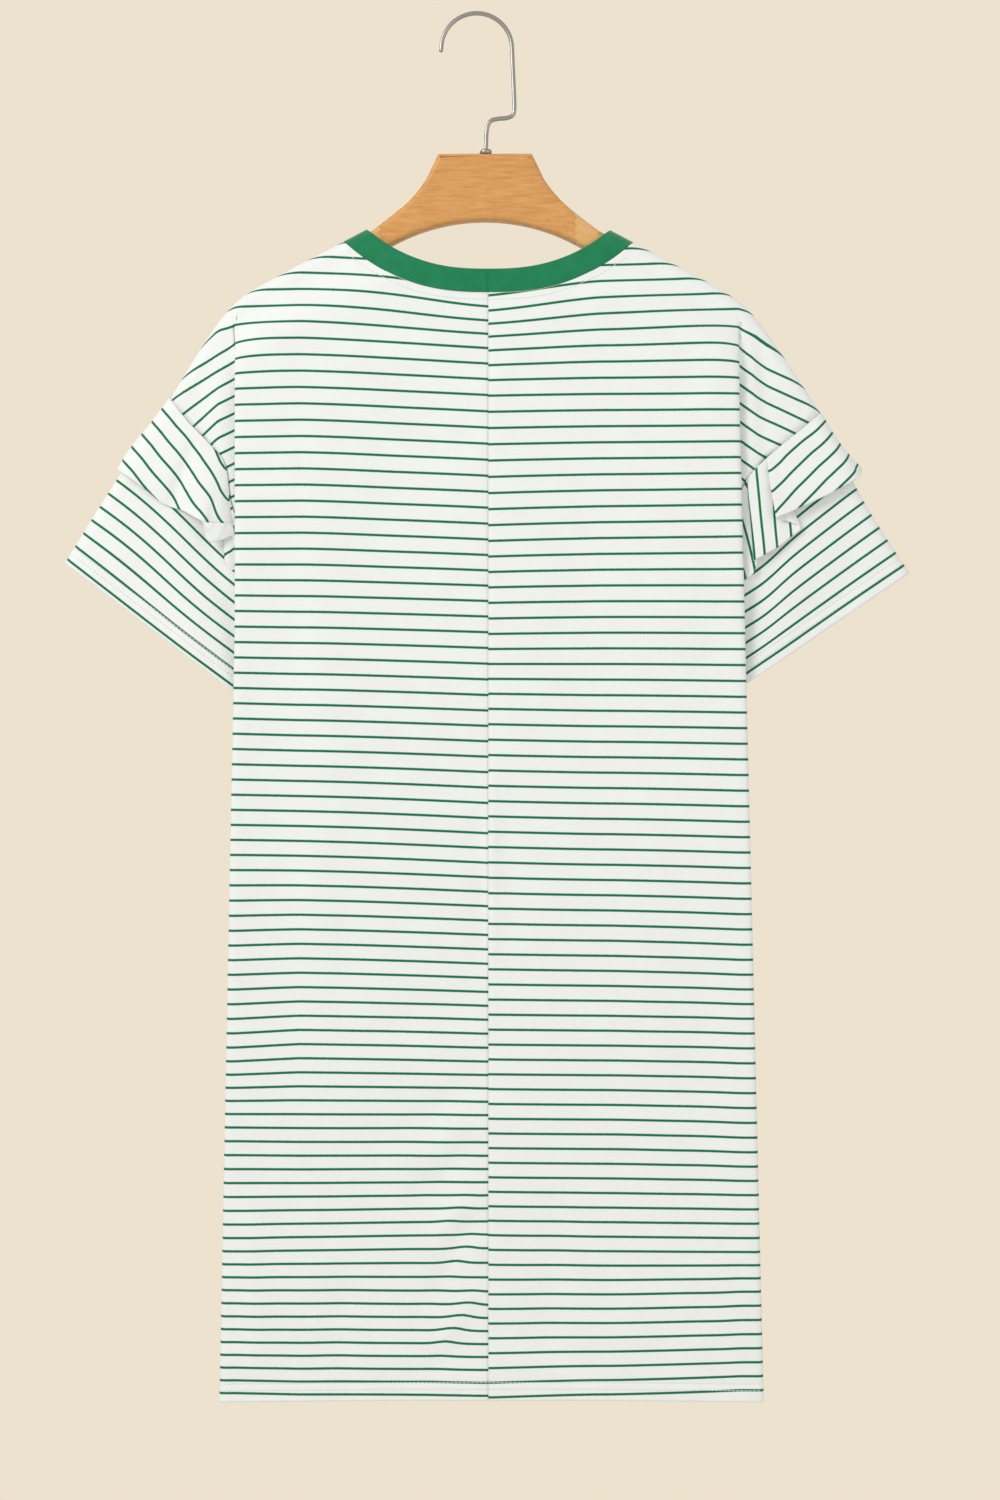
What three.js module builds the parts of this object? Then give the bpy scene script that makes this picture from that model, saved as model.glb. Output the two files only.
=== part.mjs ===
// A striped t-shirt dress on a wooden hanger.
// Millimetres, +Z up. The origin is the inner crown of the hanger's hook, where the hook rests on
// whatever it hangs from. The back of the dress faces -Y and its front faces +Y.
//
// The dress hangs flat. Each side of the body is wider than the hanger, so the cloth beyond the
// hanger's tip drops, turns in behind the body along a vertical crease and forms a tuck: body layer
// outside, tuck layer under it, and under that the drop shoulder, which comes out with the sleeve.
// Every outline below is for one half of the dress, with x counted outwards from the centre seam.
import * as THREE from "three";

// ---- Driving dimensions ----

const CLOTH = 1.2; // thickness of each cloth wall
const SEAM_GAP = 0.35; // between two pieces sewn together, half of it on each side of a centre seam
const HALF_GAP = 0.18;
const NECK_GAP = 0.5; // down the steep sides of the neckline this leaves 0.3 between the walls
const CENTRE_X = 9.3; // the centre-back seam, measured from the hook's crown
const HEM_Z = -1077;
const UNDERARM_Z = -471.5;
const ARMHOLE_LENGTH = 240; // down the tuck, from the hanger's tip to the underarm point

// Neckline: the seam of the rib band on the body, and the band's free edge.
const NECK = { half: 112.7, back: -218, front: -272, power: 2.6 };
const BAND = { half: 95, back: -200, front: -252, power: 2.6 };

// Distance of each layer from the middle plane of the dress.
const ROLL = 9.5; // radius of the roll over the shoulder
const ROLL_RUN = 38; // below the roll, the layers spread apart over this depth
const BODY_LAYER = { centre: 14, side: 20 };
const SLEEVE_LAYER = 11.5;
const CUFF_LAYER = 9;
const UNDERARM_ROUND = 25; // length over which the layers close on the underarm point
const UNDERARM_CLEAR = 2.2; // the sleeve starts this much further out there

// The two sides hang a little differently.
const LEFT = {
  sign: -1,
  shoulder: { z: -165, slope: 0.525, bend: 202, drop: 1.12 },
  crease: { half: 195.8, from: -470, flare: 0.0196 },
  tuck: 51,
  shoulderPoint: 247.7,
  armhole: [[232.8, -317.9], [217.2, -334.2], [204, -351.4], [198, -386], [176, -432]],
  cuff: { outer: [330, -427.5], inner: [172.6, -546.8] },
  bulge: 1,
  flutes: 3.2,
};
const RIGHT = {
  sign: 1,
  shoulder: { z: -165.5, slope: 0.53, bend: 203, drop: 1.0 },
  crease: { half: 193.8, from: -300, flare: 0.0242 },
  tuck: 51,
  shoulderPoint: 258.6,
  armhole: [[239, -327], [216.5, -345.6], [199.3, -364.7], [189, -392], [172, -435]],
  cuff: { outer: [328, -435], inner: [172.6, -540.6] },
  bulge: -4,
  flutes: 2.7,
};
const SHOULDER_FROM = 90; // the shoulder line is a straight slope from here to its bend
const BEND_ROUND = 8;

const RUFFLE = {
  reach: 0.84, // share of each half of the armhole that the ruffle covers
  length: 0.42, // share of the sleeve's length, at the top
  lift: 1.9, // between the middles of the ruffle and of the sleeve under it
  foldLift: 1.6, // more where it goes over the top fold
  flare: 4,
  wave: 7,
};

const HANGER = {
  offset: -2.7, // its middle, from the centre seam
  thick: 14,
  edge: 4,
  top: -108.5,
  topHalf: 37.5,
  under: -161,
  underRise: 20.7,
  underHalf: 75.7,
};
const HOOK = { wire: 3.5, radius: 27.6, offset: -9.3 };
const FERRULE = { bore: 2.1, outer: 4.8, high: 3.6 };

// ---- Small numeric helpers ----

const clamp = (t) => Math.min(1, Math.max(0, t));
const smooth = (t) => clamp(t) ** 2 * (3 - 2 * clamp(t));
const mix = (a, b, t) => a + (b - a) * t;
const softplus = (t, round) => round * Math.log1p(Math.exp(t / round));

// ---- The hanging form ----

const ridgeZ = ({ shoulder }, x) =>
  shoulder.z - shoulder.slope * (x - SHOULDER_FROM) - shoulder.drop * softplus(x - shoulder.bend, BEND_ROUND);

const ridgeSlope = ({ shoulder }, x) =>
  shoulder.slope + shoulder.drop / (1 + Math.exp((shoulder.bend - x) / BEND_ROUND));

// Distance below the shoulder line, square to it.
const depth = (side, x, z) => Math.max(0, (ridgeZ(side, x) - z) / Math.hypot(1, ridgeSlope(side, x)));

const creaseX = ({ crease }, z) => crease.half + crease.flare * Math.max(0, crease.from - z);

// How far a layer stands from the middle plane at a depth below the shoulder line.
function layer(reach, d, radius = ROLL) {
  const down = Math.min(d, radius);
  return Math.sqrt(down * (2 * radius - down)) + (reach - radius) * smooth((d - radius) / ROLL_RUN);
}

function bodyLayer(side, x, z) {
  const share = clamp(x / creaseX(side, z)) ** 2;
  return layer(mix(BODY_LAYER.centre, BODY_LAYER.side, share), depth(side, x, z));
}

// A curve of the neckline, from its lowest point up to the shoulder line.
function neckZ(side, curve, low, x) {
  return mix(low, ridgeZ(side, curve.half), (x / curve.half) ** curve.power);
}

// ---- Walls of cloth from grids of points ----

// Makes one closed solid, CLOTH thick, on one or more grids of points. A grid is a list of rows, and
// points in the same place are one point, so grids can share an edge or close on themselves.
function wall(name, material, ...grids) {
  const points = [];
  const index = new Map();
  const idOf = (p) => {
    const key = [p.x, p.y, p.z].map((c) => Math.round(c * 1e3)).join();
    if (!index.has(key)) index.set(key, points.push(p.clone()) - 1);
    return index.get(key);
  };
  const faces = [];
  const face = (a, b, c) => {
    if (a !== b && b !== c && c !== a) faces.push([a, b, c]);
  };
  for (const grid of grids) {
    const ids = grid.map((row) => row.map(idOf));
    for (let i = 1; i < ids.length; i++)
      for (let j = 1; j < ids[i].length; j++) {
        const [a, b, c, d] = [ids[i - 1][j - 1], ids[i - 1][j], ids[i][j], ids[i][j - 1]];
        face(a, b, c);
        face(a, c, d);
      }
  }

  const normals = points.map(() => new THREE.Vector3());
  const edges = new Map();
  for (const [a, b, c] of faces) {
    const n = points[b].clone().sub(points[a]).cross(points[c].clone().sub(points[a]));
    for (const i of [a, b, c]) normals[i].add(n);
    for (const [from, to] of [[a, b], [b, c], [c, a]]) {
      if (edges.has(`${to},${from}`)) edges.delete(`${to},${from}`);
      else edges.set(`${from},${to}`, [from, to]);
    }
  }

  const count = points.length;
  const position = [...points, ...points].flatMap((p, i) => {
    const reach = i < count ? CLOTH / 2 : -CLOTH / 2;
    return p.clone().addScaledVector(normals[i % count].normalize(), reach).toArray();
  });
  const triangles = faces.flatMap(([a, b, c]) => [a, b, c, a + count, c + count, b + count]);
  for (const [from, to] of edges.values())
    triangles.push(from, from + count, to + count, from, to + count, to);

  const geometry = new THREE.BufferGeometry();
  geometry.setAttribute("position", new THREE.Float32BufferAttribute(position, 3));
  geometry.setIndex(signedVolume(position, triangles) < 0 ? triangles.reverse() : triangles);
  geometry.computeVertexNormals();
  return namedMesh(name, geometry, material);
}

function signedVolume(position, triangles) {
  const at = (i) => new THREE.Vector3().fromArray(position, 3 * triangles[i]);
  let sum = 0;
  for (let i = 0; i < triangles.length; i += 3) sum += at(i).dot(at(i + 1).cross(at(i + 2)));
  return sum;
}

function namedMesh(name, geometry, material) {
  const mesh = new THREE.Mesh(geometry, material);
  mesh.name = name;
  return mesh;
}

// ---- Body panels ----

// Rows run from the shoulder line or neckline (0) to the underarm (1), then to the hem. The first
// ones are close together, for the roll over the shoulder.
const UPPER_ROWS = [0, 0.005, 0.018, 0.04, 0.08, 0.13, 0.19, 0.29, 0.42, 0.58, 0.76, 0.9, 0.97, 1];
const LOWER_ROWS = [0, 0.2, 0.42, 0.64, 0.85, 1];

const NECK_ANGLES = [0, 18, 36, 52, 66, 77, 84, 90];
const NECK_COLUMNS = NECK_ANGLES.map((a) => NECK.half * Math.sin(THREE.MathUtils.degToRad(a)));
const BEFORE_CREASE = [60, 33, 11, 2.2, 0];
const TUCK_COLUMNS = [0.05, 0.35, 0.72, 0.88, 0.97, 1];
const TURN_FROM = 0.75; // where the tuck starts to turn over to its inner fold
const DROP_COLUMNS = [0.08, 0.4, 0.75, 1];

// The armhole seam, from the shoulder point down to the underarm point, by its share of length.
function armhole(side) {
  const underarm = [creaseX(side, UNDERARM_Z) - side.tuck, UNDERARM_Z];
  const top = [side.shoulderPoint, ridgeZ(side, side.shoulderPoint)];
  return new THREE.SplineCurve([top, ...side.armhole, underarm].map((p) => new THREE.Vector2(...p)));
}

// How much of its full layer a point keeps as the layers close on the underarm point.
const closing = (share) => {
  const left = (1 - share) * ARMHOLE_LENGTH;
  return Math.sqrt(1 - (1 - clamp(left / UNDERARM_ROUND)) ** 2);
};

// Points of one row, from the centre seam out to the armhole or the side seam.
function panelRow(side, low, share, below) {
  const tipZ = ridgeZ(side, creaseX(side, 0));
  const at = (x, y, z) => new THREE.Vector3(x, -Math.max(y, HALF_GAP), z);
  const row = [];
  const zUnder = (topZ) => (below ? mix(UNDERARM_Z, HEM_Z, share) : mix(topZ, UNDERARM_Z, share));

  // The body, out to just short of the crease.
  for (const x0 of NECK_COLUMNS) {
    const z = zUnder(neckZ(side, NECK, low, x0) - NECK_GAP);
    const x = (x0 * creaseX(side, z)) / side.crease.half;
    row.push(at(x, bodyLayer(side, x, z), z));
  }
  for (const before of BEFORE_CREASE) {
    const z = zUnder(ridgeZ(side, creaseX(side, 0) - before));
    const x = creaseX(side, z) - before;
    const outer = bodyLayer(side, x, z);
    const inner = layer(SLEEVE_LAYER, depth(side, x, z));
    row.push(at(x, before ? outer : mix(outer, inner, 0.25), z));
  }

  // The tuck, back in behind the body. Close to the hanger's tip the cloth only bends there.
  const creaseZ = zUnder(tipZ);
  const fall = tipZ - creaseZ;
  const full = below ? side.tuck : side.tuck * share;
  const tuck = full * smooth((fall - 25) / 45) - 2.5 * (1 - smooth(fall / 40));
  const keep = below ? 0 : closing(share);
  for (const b of TUCK_COLUMNS) {
    const x = creaseX(side, creaseZ) - tuck * b;
    const z = creaseZ + (ridgeZ(side, x) - tipZ) * (1 - smooth(fall / 30));
    const d = depth(side, x, z);
    const inner = layer(SLEEVE_LAYER, d);
    const middle = mix(layer(BODY_LAYER.side, d), inner, 0.5);
    const turn = 1 - Math.sqrt(1 - clamp((b - TURN_FROM) / (1 - TURN_FROM)) ** 2);
    row.push(at(x, mix(middle, mix(middle, inner, 0.5) * keep, turn), z));
  }
  if (below) return row;

  // The drop shoulder, out again from the tuck's inner fold to the armhole seam.
  const fold = row[row.length - 1];
  const seam = armhole(side);
  const end = seam.getPointAt(share);
  const [first, last] = [creaseX(side, 0) + 2.5, seam.getPointAt(0)];
  for (const b of DROP_COLUMNS) {
    const x = mix(fold.x, end.x, b);
    const chord = mix(ridgeZ(side, first), last.y, b);
    const bow = ridgeZ(side, mix(first, last.x, b)) - chord;
    const z = mix(fold.z, end.y, b) + bow * (1 - smooth(fall / 60));
    row.push(at(x, layer(SLEEVE_LAYER, depth(side, x, z)) * keep, z));
  }
  return row;
}

// One half of a panel as two grids: above and below the underarm. The seam at its inner edge is at
// the given distance from the middle, and face is -1 for the back and 1 for the front.
function halfPanel(side, low, face, inset) {
  const place = (row) =>
    row.map((p) => new THREE.Vector3(side.sign * Math.max(p.x, inset), -face * p.y, p.z));
  const upper = UPPER_ROWS.map((share) => place(panelRow(side, low, share, false)));
  const lower = LOWER_ROWS.map((share) => place(panelRow(side, low, share, true)));
  return [upper, lower];
}

function frontPanel(material) {
  const [left, right] = [LEFT, RIGHT].map((side) => halfPanel(side, NECK.front, 1, 0));
  const grids = left.map((grid, g) =>
    grid.map((row, i) => [...row.toReversed(), ...right[g][i].slice(1)]),
  );
  return wall("front_panel", material, ...grids);
}

// ---- Neckband ----

function neckband(material) {
  const across = [0, 0.33, 0.67, 1];
  const rows = across.map((r) => {
    const quarter = (side, face) =>
      NECK_ANGLES.map((a) => {
        const u = Math.sin(THREE.MathUtils.degToRad(a));
        const x = u * mix(BAND.half, NECK.half, r);
        const end = face < 0 ? "back" : "front";
        const outer = neckZ(side, NECK, NECK[end], u * NECK.half);
        const inner = neckZ(side, BAND, BAND[end], u * BAND.half);
        const z = mix(inner, outer, r);
        const y = a === 90 ? 0 : face * bodyLayer(side, x, z);
        return new THREE.Vector3(side.sign * x, y, z);
      });
    const half = (side) => [...quarter(side, -1), ...quarter(side, 1).toReversed()];
    return [...half(RIGHT), ...half(LEFT).toReversed()];
  });
  return wall("neckband", material, rows);
}

// ---- Sleeves ----

// A point of the sleeve, in half-dress terms. Around runs from the top fold (0) to the underarm seam,
// 1 on the back and -1 on the front, and along runs from the armhole (0) to the cuff (1).
function sleevePoint(side, around, along) {
  const share = Math.min(1, Math.abs(around));
  const seam = armhole(side);
  const start = seam.getPointAt(share);
  const tangent = seam.getTangentAt(share);
  const gap = SEAM_GAP + UNDERARM_CLEAR * smooth((share - 0.9) / 0.1);
  start.add(new THREE.Vector2(-tangent.y, tangent.x).multiplyScalar(gap));
  const cuffOuter = new THREE.Vector2(...side.cuff.outer);
  const cuffInner = new THREE.Vector2(...side.cuff.inner);
  const end = cuffOuter.clone().lerp(cuffInner, share);
  const p = start.clone().lerp(end, along);

  const top = cuffOuter.clone().sub(seam.getPointAt(0)).normalize();
  const swell = side.bulge * Math.sin(Math.PI * along) * (1 - share) ** 3;
  p.add(new THREE.Vector2(-top.y, top.x).multiplyScalar(swell));

  const foldGap = cuffOuter.distanceTo(cuffInner) * Math.min(share, 1 - share);
  const atCuff = layer(CUFF_LAYER, foldGap, CUFF_LAYER);
  const atSeam = layer(SLEEVE_LAYER, depth(side, start.x, start.y)) * closing(share);
  const y = share ? mix(atSeam, atCuff, along) : 0;
  return new THREE.Vector3(p.x, around < 0 ? y : -y, p.y);
}

const SLEEVE_ROWS = [0, 0.1, 0.25, 0.4, 0.55, 0.7, 0.85, 1];

function sleeve(name, side, material) {
  const around = [...UPPER_ROWS, ...UPPER_ROWS.slice(0, -1).map((s) => -s).toReversed()];
  const grid = SLEEVE_ROWS.map((along) =>
    around.map((a) => {
      const p = sleevePoint(side, a, along);
      return p.setX(side.sign * p.x);
    }),
  );
  return wall(name, material, grid);
}

// ---- Ruffles ----

// The ruffle lies on the sleeve: each of its points is a point of the sleeve moved out. It stands
// off in flutes towards its free edge, and lies flat where it goes in behind the body.
function rufflePoint(side, around, along) {
  const share = Math.abs(around);
  const reach = RUFFLE.length * (1 - 0.85 * smooth((share - 0.45) / (RUFFLE.reach - 0.45)));
  const k = 0.012 + reach * along;
  const step = 0.01;
  const p = sleevePoint(side, around, k);
  const acrossStep = sleevePoint(side, around + step, k).sub(sleevePoint(side, around - step, k));
  const alongStep = sleevePoint(side, around, k + step).sub(p);
  const normal = acrossStep.cross(alongStep).normalize();
  const free = smooth((p.x - creaseX(side, p.z) - 6) / 30);
  const flute = 0.5 - 0.5 * Math.cos(2 * Math.PI * side.flutes * share);
  const lift =
    RUFFLE.lift +
    RUFFLE.foldLift * (1 - smooth(share / 0.08)) +
    along * free * (RUFFLE.flare + RUFFLE.wave * flute);
  return p.addScaledVector(normal, lift);
}

function ruffle(name, side, material) {
  const columns = 30;
  const rows = 4;
  const grid = Array.from({ length: rows + 1 }, (_, i) =>
    Array.from({ length: columns + 1 }, (_, j) => {
      const t = (2 * j) / columns - 1;
      const around = RUFFLE.reach * Math.sign(t) * Math.abs(t) ** 1.4;
      const p = rufflePoint(side, around, i / rows);
      return p.setX(side.sign * p.x);
    }),
  );
  return wall(name, material, grid);
}

// ---- Hanger ----

// Half of the hanger's outline, from the middle of its top edge round to the middle of its underside.
function hangerHalf() {
  const v = (x, z) => new THREE.Vector2(x, z);
  const { top, topHalf, under, underRise, underHalf } = HANGER;
  const neck = [[topHalf, top - 2], [41, -117.7], [47.6, -130.6], [58, -143.5], [70, -154.3], [89, -168.8]];
  const tip = [[185, -220.6], [190.8, -227], [192.4, -236], [188, -245], [177, -241]];
  const through = (points, steps) =>
    new THREE.SplineCurve(points.map((p) => v(...p))).getPoints(steps);
  const radius = (underHalf ** 2 + underRise ** 2) / (2 * underRise);
  const arc = Array.from({ length: 9 }, (_, i) => {
    const x = underHalf * (1 - i / 8);
    return v(x, under - radius + Math.sqrt(radius ** 2 - x ** 2));
  });
  return [v(0, top), v(topHalf - 2, top), ...through(neck, 14), ...through(tip, 12), ...arc];
}

function hangerBody(material) {
  const half = hangerHalf();
  const other = half.slice(1, -1).map((p) => new THREE.Vector2(-p.x, p.y)).toReversed();
  const { thick, edge } = HANGER;
  const geometry = new THREE.ExtrudeGeometry(new THREE.Shape([...half, ...other]), {
    depth: thick - 2 * edge,
    bevelThickness: edge,
    bevelSize: edge,
    bevelOffset: -edge,
    bevelSegments: 3,
  });
  geometry.translate(0, 0, edge - thick / 2).rotateX(Math.PI / 2);
  const mesh = namedMesh("hanger_body", geometry, material);
  mesh.position.x = HANGER.offset;
  return mesh;
}

// The hook's centre line: up from the wood, a step to the right, up again and round over the top.
function hookLine() {
  const centreZ = HOOK.wire / 2 - HOOK.radius;
  const foot = [[7, HANGER.top + 0.3], [7.4, -99], [8, -89], [10.6, -82.6], [16, -80.7], [23.6, -79.9],
    [28.2, -77.6], [29.4, -72], [29, -58], [28.2, -40]];
  const bow = Array.from({ length: 15 }, (_, i) => {
    const angle = (Math.PI * i) / 14;
    return [HOOK.radius * Math.cos(angle), centreZ + HOOK.radius * Math.sin(angle)];
  });
  const points = [...foot, ...bow, [-HOOK.radius - 0.2, centreZ - 3]];
  return new THREE.CatmullRomCurve3(points.map(([x, z]) => new THREE.Vector3(x, 0, z)));
}

function hangerHook(material) {
  const section = new THREE.Shape();
  section.absarc(0, 0, HOOK.wire / 2, 0, 2 * Math.PI);
  const geometry = new THREE.ExtrudeGeometry(section, {
    extrudePath: hookLine(),
    steps: 60,
    curveSegments: 5,
  });
  const mesh = namedMesh("hanger_hook", geometry, material);
  mesh.position.x = HOOK.offset;
  return mesh;
}

function hookFerrule(material) {
  const { bore, outer, high } = FERRULE;
  const profile = [[bore, 0], [outer, 0], [outer, high * 0.55], [outer * 0.72, high], [bore, high], [bore, 0]];
  const geometry = new THREE.LatheGeometry(profile.map((p) => new THREE.Vector2(...p)), 18);
  geometry.rotateX(Math.PI / 2);
  const mesh = namedMesh("hook_ferrule", geometry, material);
  mesh.position.set(HOOK.offset + 7.1, 0, HANGER.top + SEAM_GAP);
  return mesh;
}

// ---- Assembly ----

const standard = (color, roughness, metalness = 0) =>
  new THREE.MeshStandardMaterial({ color, roughness, metalness, side: THREE.DoubleSide });
const jersey = standard(0xecebe9, 0.85);
const rib = standard(0x248a5c, 0.85);
const beech = standard(0xdea055, 0.45);
const steel = standard(0xb8b8b4, 0.3, 1);

const dress = new THREE.Group();
dress.position.x = CENTRE_X;
dress.add(
  wall("back_left_panel", jersey, ...halfPanel(LEFT, NECK.back, -1, HALF_GAP)),
  wall("back_right_panel", jersey, ...halfPanel(RIGHT, NECK.back, -1, HALF_GAP)),
  frontPanel(jersey),
  neckband(rib),
  sleeve("sleeve_left", LEFT, jersey),
  sleeve("sleeve_right", RIGHT, jersey),
  ruffle("ruffle_left", LEFT, jersey),
  ruffle("ruffle_right", RIGHT, jersey),
  hangerBody(beech),
  hangerHook(steel),
  hookFerrule(steel),
);

const part = new THREE.Group();
part.add(dress);
export default part;
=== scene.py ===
"""Looks of a striped t-shirt dress that hangs on a wooden hanger, seen from its back.

The cloth is worked out in millimetres, in the dress's own frame: x from the centre-back seam,
y from the middle plane (the back is negative), z from the crown of the hook. Each half of the
dress is described with x counted outwards. Meshes are made in metres, in the frame of the CAD.
"""
import math
from types import SimpleNamespace

import bpy
import numpy as np
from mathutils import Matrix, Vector
from mathutils.bvhtree import BVHTree


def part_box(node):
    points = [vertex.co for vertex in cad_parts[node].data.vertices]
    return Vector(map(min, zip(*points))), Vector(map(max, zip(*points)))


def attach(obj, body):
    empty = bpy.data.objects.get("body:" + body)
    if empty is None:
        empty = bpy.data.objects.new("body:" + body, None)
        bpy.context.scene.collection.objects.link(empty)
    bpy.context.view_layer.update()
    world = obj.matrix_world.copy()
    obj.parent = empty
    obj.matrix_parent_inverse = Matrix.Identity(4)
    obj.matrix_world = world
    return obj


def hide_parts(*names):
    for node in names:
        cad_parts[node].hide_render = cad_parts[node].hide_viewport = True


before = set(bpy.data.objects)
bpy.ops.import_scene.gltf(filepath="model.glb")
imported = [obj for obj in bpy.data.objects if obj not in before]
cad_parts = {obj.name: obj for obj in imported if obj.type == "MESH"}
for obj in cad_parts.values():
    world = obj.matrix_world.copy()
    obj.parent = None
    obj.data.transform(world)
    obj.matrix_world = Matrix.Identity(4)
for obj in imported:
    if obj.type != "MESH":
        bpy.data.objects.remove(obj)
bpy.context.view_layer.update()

MM = 0.001
BACK, FRONT = -1, 1

# ---- Sizes of the dress ----

CENTRE_X = 9.3  # the centre-back seam, measured from the hook's crown
HEM_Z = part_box("back_left_panel")[0][2] / MM
UNDERARM_Z = -471.5
ARMHOLE_LENGTH = 240
SHELL = 1.0  # thickness of one layer of jersey
HEM_DEPTH = 14
SEAM_EDGE = 0.04  # what each edge keeps from the middle of a seam

NECK = SimpleNamespace(half=112.7, back=-218, front=-272, power=2.6)
BAND = SimpleNamespace(half=95, back=-200, front=-252, power=2.6)
ROLL = 9.5  # radius of the roll over the shoulder
ROLL_RUN = 38  # how far under the roll the cloth reaches its full distance from the middle
BODY_CENTRE, BODY_SIDE = 14, 20  # distances from the middle plane
SLEEVE_LAYER = 11.5
CUFF_LAYER = 9
BAND_WIDE = 18
SLEEVE_ROUND = 190  # half way round a sleeve, along the cloth
UNDERARM_ROUND = 25
UNDERARM_CLEAR = 2.2
SHOULDER_FROM = 90
BEND_ROUND = 8
FLAT = 0.12  # a panel never comes nearer to the middle plane than this

LEFT = SimpleNamespace(
    name="left", sign=-1,
    ridge_z=-165, slope=0.525, bend=202, drop=1.12,
    crease=195.8, crease_from=-470, flare=0.0196, tuck=51, shoulder_point=247.7,
    armhole=[(232.8, -317.9), (217.2, -334.2), (204, -351.4), (198, -386), (176, -432)],
    cuff_outer=(330, -427.5), cuff_inner=(172.6, -546.8), bulge=1,
)
RIGHT = SimpleNamespace(
    name="right", sign=1,
    ridge_z=-165.5, slope=0.53, bend=203, drop=1.0,
    crease=193.8, crease_from=-300, flare=0.0242, tuck=51, shoulder_point=258.6,
    armhole=[(239, -327), (216.5, -345.6), (199.3, -364.7), (189, -392), (172, -435)],
    cuff_outer=(328, -435), cuff_inner=(172.6, -540.6), bulge=-4,
)


# ---- Numeric helpers ----

def clamp(t):
    return np.clip(t, 0.0, 1.0)


def smooth(t):
    t = clamp(t)
    return t * t * (3 - 2 * t)


def mix(a, b, t):
    return a + (b - a) * t


def softplus(t, rounding):
    return rounding * np.logaddexp(0, t / rounding)


def bell(t, width):
    return np.exp(-((t / width) ** 2))


def through(heights, values, z):
    """A soft curve through values given at a few heights, listed downwards."""
    at = np.clip(np.asarray(z, float), heights[-1], heights[0])
    k = np.clip(np.searchsorted(-np.asarray(heights), -at, side="right") - 1, 0, len(heights) - 2)
    heights, values = np.asarray(heights, float), np.asarray(values, float)
    share = (heights[k] - at) / (heights[k] - heights[k + 1])
    return mix(values[k], values[k + 1], smooth(share))


def catmull_rom(points, t):
    """A smooth curve through the first axis of points, at t from 0 to the number of points less 1."""
    p = np.asarray(points, float)
    p = np.concatenate([p[:1], p, p[-1:]])
    k = np.minimum(t.astype(int), len(p) - 4)
    f = (t - k).reshape(-1, *[1] * (p.ndim - 1))
    a, b, c, d = (p[k + i] for i in range(4))
    v0, v1 = (c - a) / 2, (d - b) / 2
    return (2 * b - 2 * c + v0 + v1) * f**3 + (3 * c - 3 * b - 2 * v0 - v1) * f**2 + v0 * f + b


def lengths(points):
    """Length along each line of points, which runs down the first axis."""
    steps = np.linalg.norm(np.diff(points, axis=0), axis=-1)
    return np.concatenate([np.zeros((1, *steps.shape[1:])), np.cumsum(steps, axis=0)])


def spline(points, count=1200):
    """A smooth curve through points, as its samples and their shares of length."""
    samples = catmull_rom(points, np.linspace(0, len(points) - 1, count))
    length = lengths(samples)
    return samples, length / length[-1]


def interpolated(at, stations, points):
    return np.stack([np.interp(at, stations, values) for values in points.T], -1)


def along_curve(curve, share):
    samples, shares = curve
    return interpolated(share, shares, samples)


def spaced(*stretches):
    """Values over several stretches (start, end, count), without the repeated ends."""
    values = [np.linspace(a, b, n + 1)[:-1] for a, b, n in stretches]
    return np.concatenate([*values, [stretches[-1][1]]])


# ---- The hanging form ----

def ridge(side, x):
    """Height of the shoulder line, which bends down at the hanger's tip."""
    bent = side.drop * softplus(x - side.bend, BEND_ROUND)
    return side.ridge_z - side.slope * (x - SHOULDER_FROM) - bent


def ridge_slope(side, x):
    return side.slope + side.drop / (1 + np.exp((side.bend - x) / BEND_ROUND))


def depth(side, x, z):
    """How far a point lies under the shoulder line, square to it."""
    return np.maximum(0, (ridge(side, x) - z) / np.hypot(1, ridge_slope(side, x)))


def crease_x(side, z):
    return side.crease + side.flare * np.maximum(0, side.crease_from - z)


def layer(reach, d, radius=ROLL):
    """Distance from the middle plane at depth d, round the roll and then out to its reach."""
    down = np.minimum(d, radius)
    return np.sqrt(down * (2 * radius - down)) + (reach - radius) * smooth((d - radius) / ROLL_RUN)


def body_layer(side, x, z):
    share = clamp(x / crease_x(side, z)) ** 2
    return layer(mix(BODY_CENTRE, BODY_SIDE, share), depth(side, x, z))


def neck_z(side, curve, low, x):
    return mix(low, ridge(side, curve.half), (np.abs(x) / curve.half) ** curve.power)


def armhole(side):
    """The armhole seam, from the shoulder point to the underarm."""
    underarm = (crease_x(side, UNDERARM_Z) - side.tuck, UNDERARM_Z)
    top = (side.shoulder_point, ridge(side, side.shoulder_point))
    return spline([top, *side.armhole, underarm])


def closing(share):
    """From 1 to 0 at the end of the armhole seam, where back and front round into each other."""
    left = (1 - share) * ARMHOLE_LENGTH
    return np.sqrt(1 - (1 - clamp(left / UNDERARM_ROUND)) ** 2)


# ---- Folds and creases ----

def relief(folds, x, z):
    """The sum of soft ridges (height over 0) and troughs (under 0) at signed x and z."""
    total = np.zeros(np.broadcast(x, z).shape)
    for (x0, z0), (x1, z1), width, height in folds:
        length = math.hypot(x1 - x0, z1 - z0)
        ux, uz = (x1 - x0) / length, (z1 - z0) / length
        along = ((x - x0) * ux + (z - z0) * uz) / length
        across = (x - x0) * uz - (z - z0) * ux
        fade = smooth(along / 0.35) * smooth((1 - along) / 0.35)
        total = total + height * fade * bell(across, width)
    return total


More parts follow.
